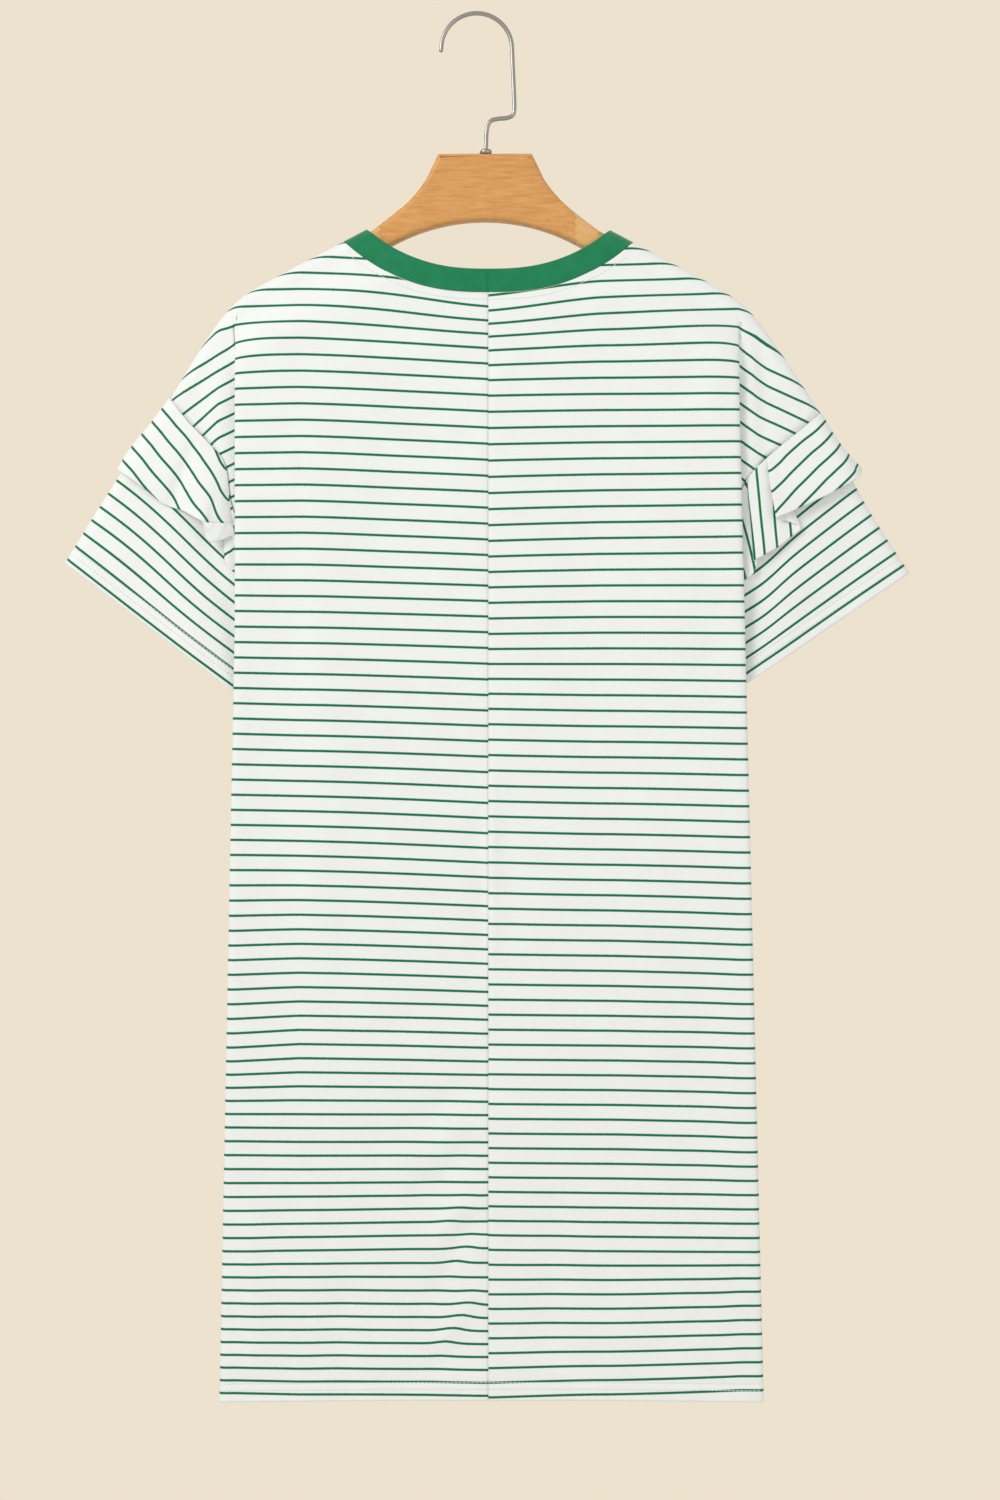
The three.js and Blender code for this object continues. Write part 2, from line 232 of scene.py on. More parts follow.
# Each fold has its start and end, as signed x and z, its width and its height.
# These pulls slant away to the left of the centre seam, and lift the stripes too.
SEAM_PULLS = [
    ((-3, -985), (-45, -1046), 8, 2.4),
    ((-5, -944), (-36, -982), 7, 1.5),
    ((-9, -914), (-42, -950), 7, 1.2),
]
BACK_FOLDS = SEAM_PULLS + [
    # long soft troughs and ridges, beside the centre seam and down the left half
    ((-158, -350), (-170, -760), 22, -3.2),
    ((-168, -560), (-150, -900), 16, -1.8),
    ((-128, -420), (-136, -800), 20, 2.0),
    ((-10, -590), (-4, -760), 7, -1.6),
    ((14, -600), (20, -740), 8, -1.5),
    ((3, -560), (2, -800), 5, 1.2),
    # pulls that run down and out from the centre seam
    ((2, -822), (-86, -880), 9, -1.5),
    ((2, -868), (-74, -940), 9, -1.6),
    ((2, -925), (-66, -1030), 9, -1.7),
    ((2, -985), (-58, -1075), 10, -1.5),
    ((-2, -848), (-70, -905), 9, 1.2),
    ((-2, -900), (-62, -985), 9, 1.2),
    ((0, -760), (-110, -800), 14, -1.2),
    # down the right half, then more on the left half
    ((160, -700), (172, -960), 20, -2.4),
    ((120, -560), (128, -860), 24, 1.6),
    ((70, -330), (84, -640), 26, -1.6),
    ((172, -960), (190, -1075), 16, 1.8),
    ((60, -880), (40, -1070), 16, -1.4),
    ((176, -380), (172, -560), 12, -1.4),
    ((-60, -260), (-96, -520), 26, -1.6),
    ((-186, -900), (-176, -1075), 12, 1.6),
    ((-110, -960), (-122, -1075), 16, -1.6),
    # drags from the neckline and from the hanger's tips
    ((-20, -236), (-150, -262), 11, -0.8),
    ((24, -236), (150, -262), 11, -0.8),
    ((-178, -236), (-150, -330), 12, 1.2),
    ((184, -240), (160, -340), 12, 1.2),
]
FRONT_FOLDS = [
    ((150, -340), (162, -780), 22, -3.0),
    ((120, -420), (128, -820), 20, 2.0),
    ((-150, -420), (-164, -860), 22, -2.8),
    ((-118, -500), (-126, -820), 22, 1.8),
    ((-30, -300), (-46, -600), 28, -1.8),
    ((38, -520), (20, -880), 26, -2.0),
    ((0, -640), (-6, -1000), 22, 1.8),
    ((70, -820), (96, -1075), 16, -2.0),
    ((-74, -800), (-92, -1075), 16, -2.0),
    ((-10, -860), (16, -1075), 16, -1.8),
    ((140, -860), (150, -1075), 14, 1.8),
    ((-136, -880), (-142, -1075), 14, 1.6),
    ((-24, -292), (-130, -330), 12, -1.2),
    ((24, -292), (130, -330), 12, -1.2),
    ((178, -240), (150, -340), 12, 1.4),
    ((-178, -240), (-150, -340), 12, 1.4),
]
# Sleeve folds, with x outwards on both sides.
SLEEVE_FOLDS = [
    ((226, -340), (196, -520), 9, -1.6),
    ((250, -400), (214, -545), 11, 1.5),
    ((286, -410), (262, -500), 13, -1.1),
    ((206, -430), (188, -540), 7, -1.4),
]


def ripple(x, z):
    """The faint unevenness of cloth that has been pressed and worn."""
    return (
        0.35 * np.sin(x / 23 + 1.3 * np.sin(z / 91))
        + 0.3 * np.sin(z / 37 + 1.7 * np.sin(x / 67))
        + 0.16 * np.sin(x / 9.5 + z / 31) * np.sin(z / 19)
    )


# ---- Stripes ----

STRIPE_THICK = 1.95
# Height of stripe 0, the spacing there, and half of how much each spacing is less than the one
# above it, as the cloth hangs tighter lower down.
LEFT_STRIPES = SimpleNamespace(first=-202.1, pitch=12.99, shrink=0.02042)
RIGHT_STRIPES = SimpleNamespace(first=-196.4, pitch=12.68, shrink=0.01144)
FRONT_STRIPES = SimpleNamespace(first=-199, pitch=12.85, shrink=0.0155)


def stripe_pitch(stripes, z):
    """Spacing of the stripes at height z."""
    return np.sqrt(np.maximum(stripes.pitch**2 - 4 * stripes.shrink * (stripes.first - z), 1))


def stripe_number(stripes, z):
    """Which stripe lies at height z, as a number that is whole in the middle of each stripe."""
    return (stripes.pitch - stripe_pitch(stripes, z)) / (2 * stripes.shrink)


# How far a stripe hangs under its own height on the back, at the centre seam and at the side of
# each half. Still is the distance from the seam where it does not, and reach runs on to the side.
SAG_HEIGHTS = [-230, -300, -400, -470, -550, -640, -730, -800, -870, -950, -1000, HEM_Z]
LEFT_SAG = SimpleNamespace(
    still=146, reach=50, seam_power=1.3, side_power=1,
    at_seam=[9, 5.8, 5.2, 3.6, 4.4, 5.7, 4.6, 3.2, 0.8, -1.4, 1.8, 1.8],
    at_side=[0.4, 1.2, 0.6, -0.5, -1.3, -0.9, 1.2, 2.4, -0.9, 0.4, -0.6, -1.5],
)
RIGHT_SAG = SimpleNamespace(
    still=87, reach=107, seam_power=1.2, side_power=1.4,
    at_seam=[6, 1.2, 2.4, 1.2, -1.6, -1.9, -1.0, -0.6, -0.6, -1.0, 0.2, 2.4],
    at_side=[-4.4, 0, -0.9, 0.6, 1.5, 2.2, 2.9, 1.7, 1.9, 0.4, -3.2, -4.4],
)
TIP_Z = -262  # height of the neckline's back and of the drag from the hanger's tip


def back_sag(side, x, z):
    sag = LEFT_SAG if side is LEFT else RIGHT_SAG
    to_seam = clamp((sag.still - x) / sag.still) ** sag.seam_power * through(SAG_HEIGHTS, sag.at_seam, z)
    to_side = clamp((x - sag.still) / sag.reach) ** sag.side_power * through(SAG_HEIGHTS, sag.at_side, z)
    if side is LEFT:
        to_seam = to_seam - relief(SEAM_PULLS, -x, z)
    neck = 5.5 * bell(x, 60) * smooth((z - TIP_Z) / 40)
    tip = 3.2 * np.exp(-(crease_x(side, z) - x) / 13) * bell(z - TIP_Z, 22)
    return to_seam + to_side + neck + tip


def front_sag(side, x, z):
    """The same on the front, which is kept plain."""
    wave = 2.2 * np.sin(z / 120 + side.sign * 0.8) * clamp(x / 150)
    drop = 6 * bell(x, 70) * smooth((z + 320) / 50)
    return wave + drop + 2.5 * (1 - clamp(x / 150)) ** 2


def roll_rise(side, x, z):
    """The cloth rolls over the shoulder, so near its line there is more cloth than height."""
    d = np.minimum(depth(side, x, z), ROLL)
    rolled = ROLL * np.arccos(1 - d / ROLL) - d
    return (ROLL * (math.pi / 2 - 1) - rolled) / np.hypot(1, ridge_slope(side, x))


def drop_rise(side, x, z, share):
    """Rise of the cloth's level on the tuck and the drop shoulder, which the fold has turned."""
    out = x - crease_x(side, z)
    at_crease = z + 0.65 * out  # where the stripe meets the crease
    below = np.maximum(0, -267 - at_crease)
    near = np.minimum(out, 14)
    far = np.maximum(out - 14, 0)
    begun = smooth((-226 - at_crease) / 36)  # from none at the shoulder to all under the tip
    turned = smooth((-272 - at_crease) / 34)  # and from the slope there to the one lower down
    if side is LEFT:
        slip = 7 * (1 - np.exp(-below / 32))
        rise = mix(0.2, 1, begun) * mix(0.64, 0.5, turned) * near + mix(0.66, 0.9, turned) * far
    else:
        slip = 0.16 * below
        step = 2 * smooth((out - 10) / 16) * (1 - turned) * begun
        rise = mix(0.2, 1, begun) * 0.74 * near + 0.49 * far + step
    return share * (slip + rise)


# ---- Meshes ----

def shade_smooth(mesh):
    mesh.polygons.foreach_set("use_smooth", [True] * len(mesh.polygons))


def new_object(name, vertices, faces, materials, indices=None):
    mesh = bpy.data.meshes.new(name)
    mesh.from_pydata(np.asarray(vertices).tolist(), [], faces)
    for material in materials:
        mesh.materials.append(material)
    if indices is not None:
        mesh.polygons.foreach_set("material_index", np.asarray(indices, np.int32))
    shade_smooth(mesh)
    obj = bpy.data.objects.new(name, mesh)
    bpy.context.scene.collection.objects.link(obj)
    return obj


def add_attribute(mesh, name, kind, values):
    attribute = mesh.attributes.new(name, kind, "POINT")
    field = "vector" if kind == "FLOAT_VECTOR" else "value"
    attribute.data.foreach_set(field, np.ascontiguousarray(values, np.float32).ravel())


def welded(grids):
    """The grids' values by point, with points that coincide made one, and the faces' corners."""
    flat = {key: [] for key in ("p", "stripe", "pitch", "weave", "extra")}
    quads, start = [], 0
    for grid in grids:
        rows, columns = grid["p"].shape[:2]
        ids = start + np.arange(rows * columns).reshape(rows, columns)
        corners = [ids[:-1, :-1], ids[:-1, 1:], ids[1:, 1:], ids[1:, :-1]]
        quads.append(np.stack(corners, -1).reshape(-1, 4))
        start += rows * columns
        for key in flat:
            value = np.asarray(grid[key], float)
            size = {"p": 3, "weave": 2}.get(key, 1)
            value = value if size > 1 else value[..., None]
            flat[key].append(np.broadcast_to(value, (rows, columns, size)).reshape(-1, size))
    flat = {key: np.concatenate(values) for key, values in flat.items()}
    microns = np.round(flat["p"] * 1e3).astype(int)
    _, first, where = np.unique(microns, axis=0, return_index=True, return_inverse=True)
    faces = []
    for quad in where.ravel()[np.concatenate(quads)].tolist():
        corners = [v for i, v in enumerate(quad) if v != quad[i - 1]]
        if len(corners) > 2 and len(set(corners)) == len(corners):
            faces.append(corners)
    return {key: values[first] for key, values in flat.items()}, faces


def outward(p, faces):
    """The faces turned to look away from the middle plane, the points' normals, and the open edges."""
    normals = np.zeros(p.shape)
    edges = {}
    for corners in faces:
        a, b, c, d = p[corners[0]], p[corners[1]], p[corners[2]], p[corners[-1]]
        normal = np.cross(c - a, d - b) if len(corners) == 4 else np.cross(b - a, c - a)
        for i, v in enumerate(corners):
            normals[v] += normal
            u = corners[i - 1]
            if (v, u) in edges:
                del edges[(v, u)]
            else:
                edges[(u, v)] = True
    normals /= np.maximum(np.linalg.norm(normals, axis=1, keepdims=True), 1e-9)
    if (normals[:, 1] * p[:, 1]).sum() < 0:
        return [corners[::-1] for corners in faces], -normals, [(v, u) for u, v in edges]
    return faces, normals, list(edges)


def cloth(name, grids, materials, thickness=SHELL):
    """One closed shell on grids of points. Each grid has points p (rows, columns, 3), the stripe
    number and its pitch, the cloth's own coordinates, and any extra thickness inside."""
    flat, faces = welded(grids)
    p, count = flat["p"], len(flat["p"])
    faces, normals, edges = outward(p, faces)
    outer = p + normals * thickness / 2
    inner = p - normals * (thickness / 2 + flat["extra"])
    inside = [[v + count for v in reversed(corners)] for corners in faces]
    rim = [[v, u, u + count, v + count] for u, v in edges]
    indices = [0] * len(faces) + [1] * (len(inside) + len(rim))
    vertices = to_part(np.concatenate([outer, inner]))
    obj = new_object(name, vertices, faces + inside + rim, materials, indices)
    for key in ("stripe", "pitch"):
        add_attribute(obj.data, key, "FLOAT", np.tile(flat[key], (2, 1)))
    weave = np.concatenate([flat["weave"], np.zeros((count, 1))], 1)
    add_attribute(obj.data, "weave", "FLOAT_VECTOR", np.tile(weave, (2, 1)))
    return obj


def to_part(points):
    """Points of the dress, in millimetres, as metres in the part's frame."""
    return (np.asarray(points, float) + [CENTRE_X, 0, 0]) * MM


def around_circle(sides):
    return 2 * np.pi * np.arange(sides) / sides


def ring_faces(ids):
    """Faces between rings of point numbers, each ring closed on itself."""
    after = np.roll(ids, -1, 1)
    return np.stack([ids[:-1], after[:-1], after[1:], ids[1:]], -1).reshape(-1, 4).tolist()


def faces_out(obj):
    """Turns every face round if the closed mesh is inside out."""
    mesh = obj.data
    mesh.calc_loop_triangles()
    corners = np.array([t.vertices for t in mesh.loop_triangles])
    at = np.empty(len(mesh.vertices) * 3)
    mesh.vertices.foreach_get("co", at)
    a, b, c = (at.reshape(-1, 3)[corners[:, i]] for i in range(3))
    if np.einsum("ij,ij->i", a, np.cross(b, c)).sum() < 0:
        mesh.flip_normals()
    return obj


# ---- Body panels ----

UPPER_SHARES = spaced((0, 0.02, 8), (0.02, 0.12, 12), (0.12, 1, 42))
HEM_SHARE = 1 - HEM_DEPTH / (UNDERARM_Z - HEM_Z) * 1.4
LOWER_SHARES = spaced((0, HEM_SHARE, 84), (HEM_SHARE, 1, 12))
NECK_ANGLES = np.radians(spaced((0, 4, 4), (4, 76, 30), (76, 90, 10)))
TO_CREASE = np.linspace(1, 0, 16) ** 1.5 * 78  # distances of the last columns from the crease
TUCK_SHARES = spaced((0, 0.06, 3), (0.06, 0.72, 9), (0.72, 1, 8))[1:]
DROP_SHARES = np.linspace(0, 1, 15)[1:]
TURN_FROM = 0.75  # where the tuck begins to turn back at its inner fold
NECK_GAP = 0.5


def seam_dip(distance, depth_mm, width=2.6):
    """Two sewn pieces sink into the seam between them."""
    return -depth_mm * bell(distance, width)


def seam_pucker(side, x, z):
    """Small pulls that lean away from the centre seam, where the thread holds the cloth short."""
    lean = 0.35 if side is LEFT else 0.2
    wave = np.sin((z + lean * x) / 7.3 + 2.1 * np.sin(z / 83)) * np.sin(z / 41 + 0.7 * side.sign)
    return 0.42 * wave * np.exp(-x / 22) * (1 - np.exp(-x / 3))


def drop_relief(side, x, z):
    """The drop shoulder rises out of the tuck in a soft roll, then lies over the sleeve's head."""
    out = x - crease_x(side, z)
    if side is LEFT:
        return 1.0 * bell(out - 12, 8) - 0.8 * bell(out - 26, 7)
    return 1.6 * bell(out - 9, 6) - 1.5 * bell(out - 20, 5.5)


def hem_profile(up, proud, pulled, width):
    """The turned-up hem stands a little proud under its stitching, which pulls in."""
    return proud * smooth((HEM_DEPTH + 1 - up) / 3) - pulled * bell(up - HEM_DEPTH, width)


def hem_extra(z, x, crease):
    """The hem's second layer, which ends before the tuck."""
    return 0.9 * smooth((HEM_DEPTH - (z - HEM_Z)) / 1.5) * smooth((crease - x - 4) / 6)


def folded_level(side, sag, x, z, share):
    """Level of the cloth beyond the crease, which says what stripe it carries."""
    return z + sag(side, crease_x(side, z), z) + roll_rise(side, x, z) + drop_rise(side, x, z, share)


def body_columns(side, low, face, sag, under):
    """The body, from the middle out to the crease."""
    neck_x = NECK.half * np.sin(NECK_ANGLES)
    z_neck = under(neck_z(side, NECK, low, neck_x) - NECK_GAP)
    x_neck = neck_x * crease_x(side, z_neck) / side.crease
    z_side = under(ridge(side, crease_x(side, 0) - TO_CREASE))
    x_side = crease_x(side, z_side) - TO_CREASE
    x, z = np.hstack([x_neck, x_side]), np.hstack([z_neck, z_side])
    d = depth(side, x, z)
    outer, inner = body_layer(side, x, z), layer(SLEEVE_LAYER, d)
    crease_turn = np.exp(-(crease_x(side, z) - x) / 1.1)
    y = mix(outer, mix(outer, inner, 0.25), crease_turn)
    folds = BACK_FOLDS if face == BACK else FRONT_FOLDS
    moved = relief(folds, side.sign * x, z) + ripple(side.sign * x, z)
    over_tuck = smooth((x - crease_x(side, z) + side.tuck + 14) / 12)
    moved = np.where(moved < 0, mix(moved, -2 * np.tanh(-moved / 2), over_tuck), moved)
    settled = smooth((d - 6) / 24)
    y = y + moved * settled
    if face == BACK:
        y = y + seam_dip(x, 0.5) * smooth(d / 6)
        y = y + seam_pucker(side, x, z) * settled
    y = y + hem_profile(z - HEM_Z, 0.35, 0.45, 1.6)
    return x, y, z, z + sag(side, x, z) + roll_rise(side, x, z)


def tuck_columns(side, sag, crease_z, full, keep):
    """The tuck, back in behind the body. Full is its depth well under the shoulder."""
    tip_z = ridge(side, crease_x(side, 0))
    fall = tip_z - crease_z
    tuck = full * smooth((fall - 40) / 55) - 2.5 * (1 - smooth(fall / 40))
    x = crease_x(side, crease_z) - tuck * TUCK_SHARES
    z = crease_z + (ridge(side, x) - tip_z) * (1 - smooth(fall / 30))
    d = depth(side, x, z)
    inner = layer(SLEEVE_LAYER, d)
    middle = mix(layer(BODY_SIDE, d), inner, 0.5)
    turn = 1 - np.sqrt(1 - clamp((TUCK_SHARES - TURN_FROM) / (1 - TURN_FROM)) ** 2)
    y = mix(middle, mix(middle, inner, 0.5) * keep, turn)
    return x, y, z, folded_level(side, sag, x, z, TUCK_SHARES)


def drop_columns(side, sag, fold_x, fold_z, fall, keep):
    """The drop shoulder, from the tuck's inner fold out again to the armhole seam."""
    seam = armhole(side)
    end_x, end_z = np.hsplit(along_curve(seam, UPPER_SHARES), 2)
    first, last = crease_x(side, 0) + 2.5, seam[0][0]
    b = DROP_SHARES
    bow = ridge(side, mix(first, last[0], b)) - mix(ridge(side, first), last[1], b)
    x = mix(fold_x, end_x, b)
    z = mix(fold_z, end_z, b) + bow * (1 - smooth(fall / 60))
    d = depth(side, x, z)
    outside = smooth((x - crease_x(side, z) - 3) / 8)
    shaped = drop_relief(side, x, z) * outside + seam_dip(np.hypot(x - end_x, z - end_z), 0.7)
    y = layer(SLEEVE_LAYER, d) * keep + shaped * smooth((d - 3) / 16) * keep
    return x, y, z, folded_level(side, sag, x, z, 1)


def panel_half(side, low, face, below):
    """Grid of one half of a panel, above or below the underarm."""
    shares = (LOWER_SHARES if below else UPPER_SHARES)[:, None]

    def under(top_z):
        start, end = (UNDERARM_Z, HEM_Z) if below else (top_z, UNDERARM_Z)
        return mix(start, end, shares) + 0 * top_z

    sag = back_sag if face == BACK else front_sag
    stripes = (LEFT_STRIPES if side is LEFT else RIGHT_STRIPES) if face == BACK else FRONT_STRIPES
    tip_z = ridge(side, crease_x(side, 0))
    crease_z = under(tip_z)
    full = side.tuck * (np.ones_like(shares) if below else shares)
    keep = 0 if below else closing(shares)
    columns = [body_columns(side, low, face, sag, under), tuck_columns(side, sag, crease_z, full, keep)]
    if not below:
        x, _, z, _ = columns[-1]
        columns.append(drop_columns(side, sag, x[:, -1:], z[:, -1:], tip_z - crease_z, keep))
    x, y, z, level = (np.hstack(parts) for parts in zip(*columns))
    p = np.stack([side.sign * x, face * np.maximum(y, FLAT), z], -1)
    stripe = stripe_number(stripes, level)
    pitch = stripe_pitch(stripes, level)
    return {
        "p": p,
        "stripe": stripe,
        "pitch": np.clip(stripe_pitch_of(stripe, p), 0.75 * pitch, 1.35 * pitch),
        "weave": np.stack([side.sign * x, level], -1),
        "extra": hem_extra(z, x, crease_x(side, z)),
    }


def mirrored(grid):
    """The same grid with its columns in the other order."""
    return {key: value[:, ::-1] for key, value in grid.items()}


def joined(left, right):
    """The left and the right half of one panel, side by side."""
    return {key: np.concatenate([mirrored(left)[key], right[key][:, 1:]], 1) for key in left}


def back_panel(side, name, materials):
    """Half of the back, whose first column keeps a little from the centre seam."""
    grids = [panel_half(side, NECK.back, BACK, below) for below in (False, True)]
    for grid in grids:
        grid["p"][:, 0, 0] = side.sign * SEAM_EDGE
    if side is LEFT:
        grids = [mirrored(grid) for grid in grids]
    return cloth(name, grids, materials)


def front_panel(materials):
    return cloth("front", [
        joined(*(panel_half(side, NECK.front, FRONT, below) for side in (LEFT, RIGHT)))
        for below in (False, True)
    ], materials)


# ---- Neckband ----

def neckband(materials):
    """The rib band, a ring that runs from its free edge (0) to its seam on the body (1)."""
    across = spaced((0, 0.1, 3), (0.1, 0.9, 8), (0.9, 1, 3))[:, None]
    angles = np.radians(spaced((0, 70, 60), (70, 90, 34)))[None, :]
    u = np.sin(angles)

    def quarter(side, face):
        x = u * mix(BAND.half, NECK.half, across)
        low_outer, low_inner = (NECK.back, BAND.back) if face == BACK else (NECK.front, BAND.front)
        outer = neck_z(side, NECK, low_outer, u * NECK.half)
        inner = neck_z(side, BAND, low_inner, u * BAND.half)
        z = mix(inner, outer, across)
        crown = 0.8 * np.sin(np.pi * across) ** 0.6
        y = body_layer(side, x, z) + crown * smooth(depth(side, x, z) / 10)
        y = np.where(u > 1 - 1e-9, 0, y)
        return np.stack([side.sign * x, face * y, z], -1)

    def half(side):
        return np.concatenate([quarter(side, BACK), quarter(side, FRONT)[:, ::-1][:, 1:]], 1)

    p = np.concatenate([half(RIGHT), half(LEFT)[:, ::-1][:, 1:]], 1)
    run = lengths(p[len(p) // 2])
    weave = np.stack(np.broadcast_arrays(run[None, :], across * BAND_WIDE), -1)
    grid = {"p": p, "stripe": across, "pitch": 1, "weave": weave, "extra": 0.4}
    return cloth("neck_rib", [grid], materials)


# ---- Sleeves ----

def sleeve_points(side, around, along):
    """Points of the sleeve with x outwards. Around runs from the top fold (0) to the underarm seam,
    1 on the back and -1 on the front; along runs from the armhole (0) to the cuff (1)."""
    around, along = np.broadcast_arrays(np.asarray(around, float), np.asarray(along, float))
    share = np.minimum(1, np.abs(around))
    seam = armhole(side)
    start = along_curve(seam, share)
    ahead, behind = along_curve(seam, np.minimum(1, share + 2e-3)), along_curve(seam, share - 2e-3)
    tangent = ahead - behind
    tangent /= np.maximum(np.linalg.norm(tangent, axis=-1, keepdims=True), 1e-9)
    gap = 0.1 + UNDERARM_CLEAR * smooth((share - 0.9) / 0.1)
    start = start + np.stack([-tangent[..., 1], tangent[..., 0]], -1) * gap[..., None]
    cuff_outer, cuff_inner = np.array(side.cuff_outer), np.array(side.cuff_inner)
    end = mix(cuff_outer, cuff_inner, share[..., None])
    p = mix(start, end, along[..., None])
    top = cuff_outer - seam[0][0]
    top = top / np.linalg.norm(top)
    swell = side.bulge * np.sin(np.pi * along) * (1 - share) ** 3
    p = p + np.array([-top[1], top[0]]) * swell[..., None]
    fold_gap = np.linalg.norm(cuff_outer - cuff_inner) * np.minimum(share, 1 - share)
    at_cuff = layer(CUFF_LAYER, fold_gap, CUFF_LAYER)
    at_seam = layer(SLEEVE_LAYER, depth(side, start[..., 0], start[..., 1])) * closing(share)
    y = np.where(share > 0, mix(at_seam, at_cuff, along), 0)
    return np.stack([p[..., 0], np.where(around < 0, y, -y), p[..., 1]], -1)


def cuff_distance(side, x, z):
    """Signed distance from the straight line of the cuff."""
    (x0, z0), (x1, z1) = side.cuff_outer, side.cuff_inner
    length = math.hypot(x1 - x0, z1 - z0)
    return ((x - x0) * (z1 - z0) - (z - z0) * (x1 - x0)) / length


# The first stripe's distance from the cuff's edge, and the pitch.
SLEEVE_STRIPES = {"left": (3.5, 12.0), "right": (7.3, 11.6)}


def sleeve(side, name, materials):
    """A sleeve all the way round, with stripes that follow its cuff and crowd at the underarm."""
    half = spaced((0, 0.02, 5), (0.02, 0.12, 10), (0.12, 0.9, 34), (0.9, 1, 6))
    around = np.concatenate([half, -half[:-1][::-1]])[None, :]
    along = spaced((0, 0.04, 3), (0.04, 0.88, 30), (0.88, 1, 8))[:, None]
    p = sleeve_points(side, around, along)
    x, y, z = p[..., 0], p[..., 1], p[..., 2]
    share = np.minimum(1, np.abs(np.broadcast_to(around, x.shape)))
    clear = smooth(share / 0.12) * smooth((1 - share) / 0.15)
    from_edge = np.abs(cuff_distance(side, x, z))
    bump = relief(SLEEVE_FOLDS, x, z) * smooth(along / 0.2) * clear
    bump = bump + (hem_profile(from_edge, 0.3, 0.35, 1.5) + 0.4 * ripple(x * 1.7, z * 1.6)) * clear
    p[..., 1] = y + np.where(np.broadcast_to(around, x.shape) < 0, bump, -bump)
    first, pitch = SLEEVE_STRIPES[side.name]
    pitch = pitch * (1 - 0.17 * share**1.2)
    stripe = (from_edge - first + sleeve_wander(side, x, from_edge)) / pitch
    p[..., 0] *= side.sign
    grid = {
        "p": p,
        "stripe": stripe,
        "pitch": pitch,
        "weave": np.stack([share * SLEEVE_ROUND, from_edge], -1),
        "extra": 0.8 * smooth((HEM_DEPTH - from_edge) / 1.5),
    }
    if side is LEFT:
        grid = mirrored(grid)
    return cloth(name, [grid], materials)


def sleeve_wander(side, x, from_edge):
    """How far the sleeve's stripes stray from a straight run beside the cuff."""
    fade = smooth((from_edge - 6) / 40)
    if side is LEFT:
        return fade * 1.6 * np.sin((x - 200) / 19 + from_edge / 60) + 0.5 * np.sin(x / 31)
    return fade * 2.4 * bell(x - 214, 16) + 0.4 * np.sin(x / 27)


# ---- Ruffles ----

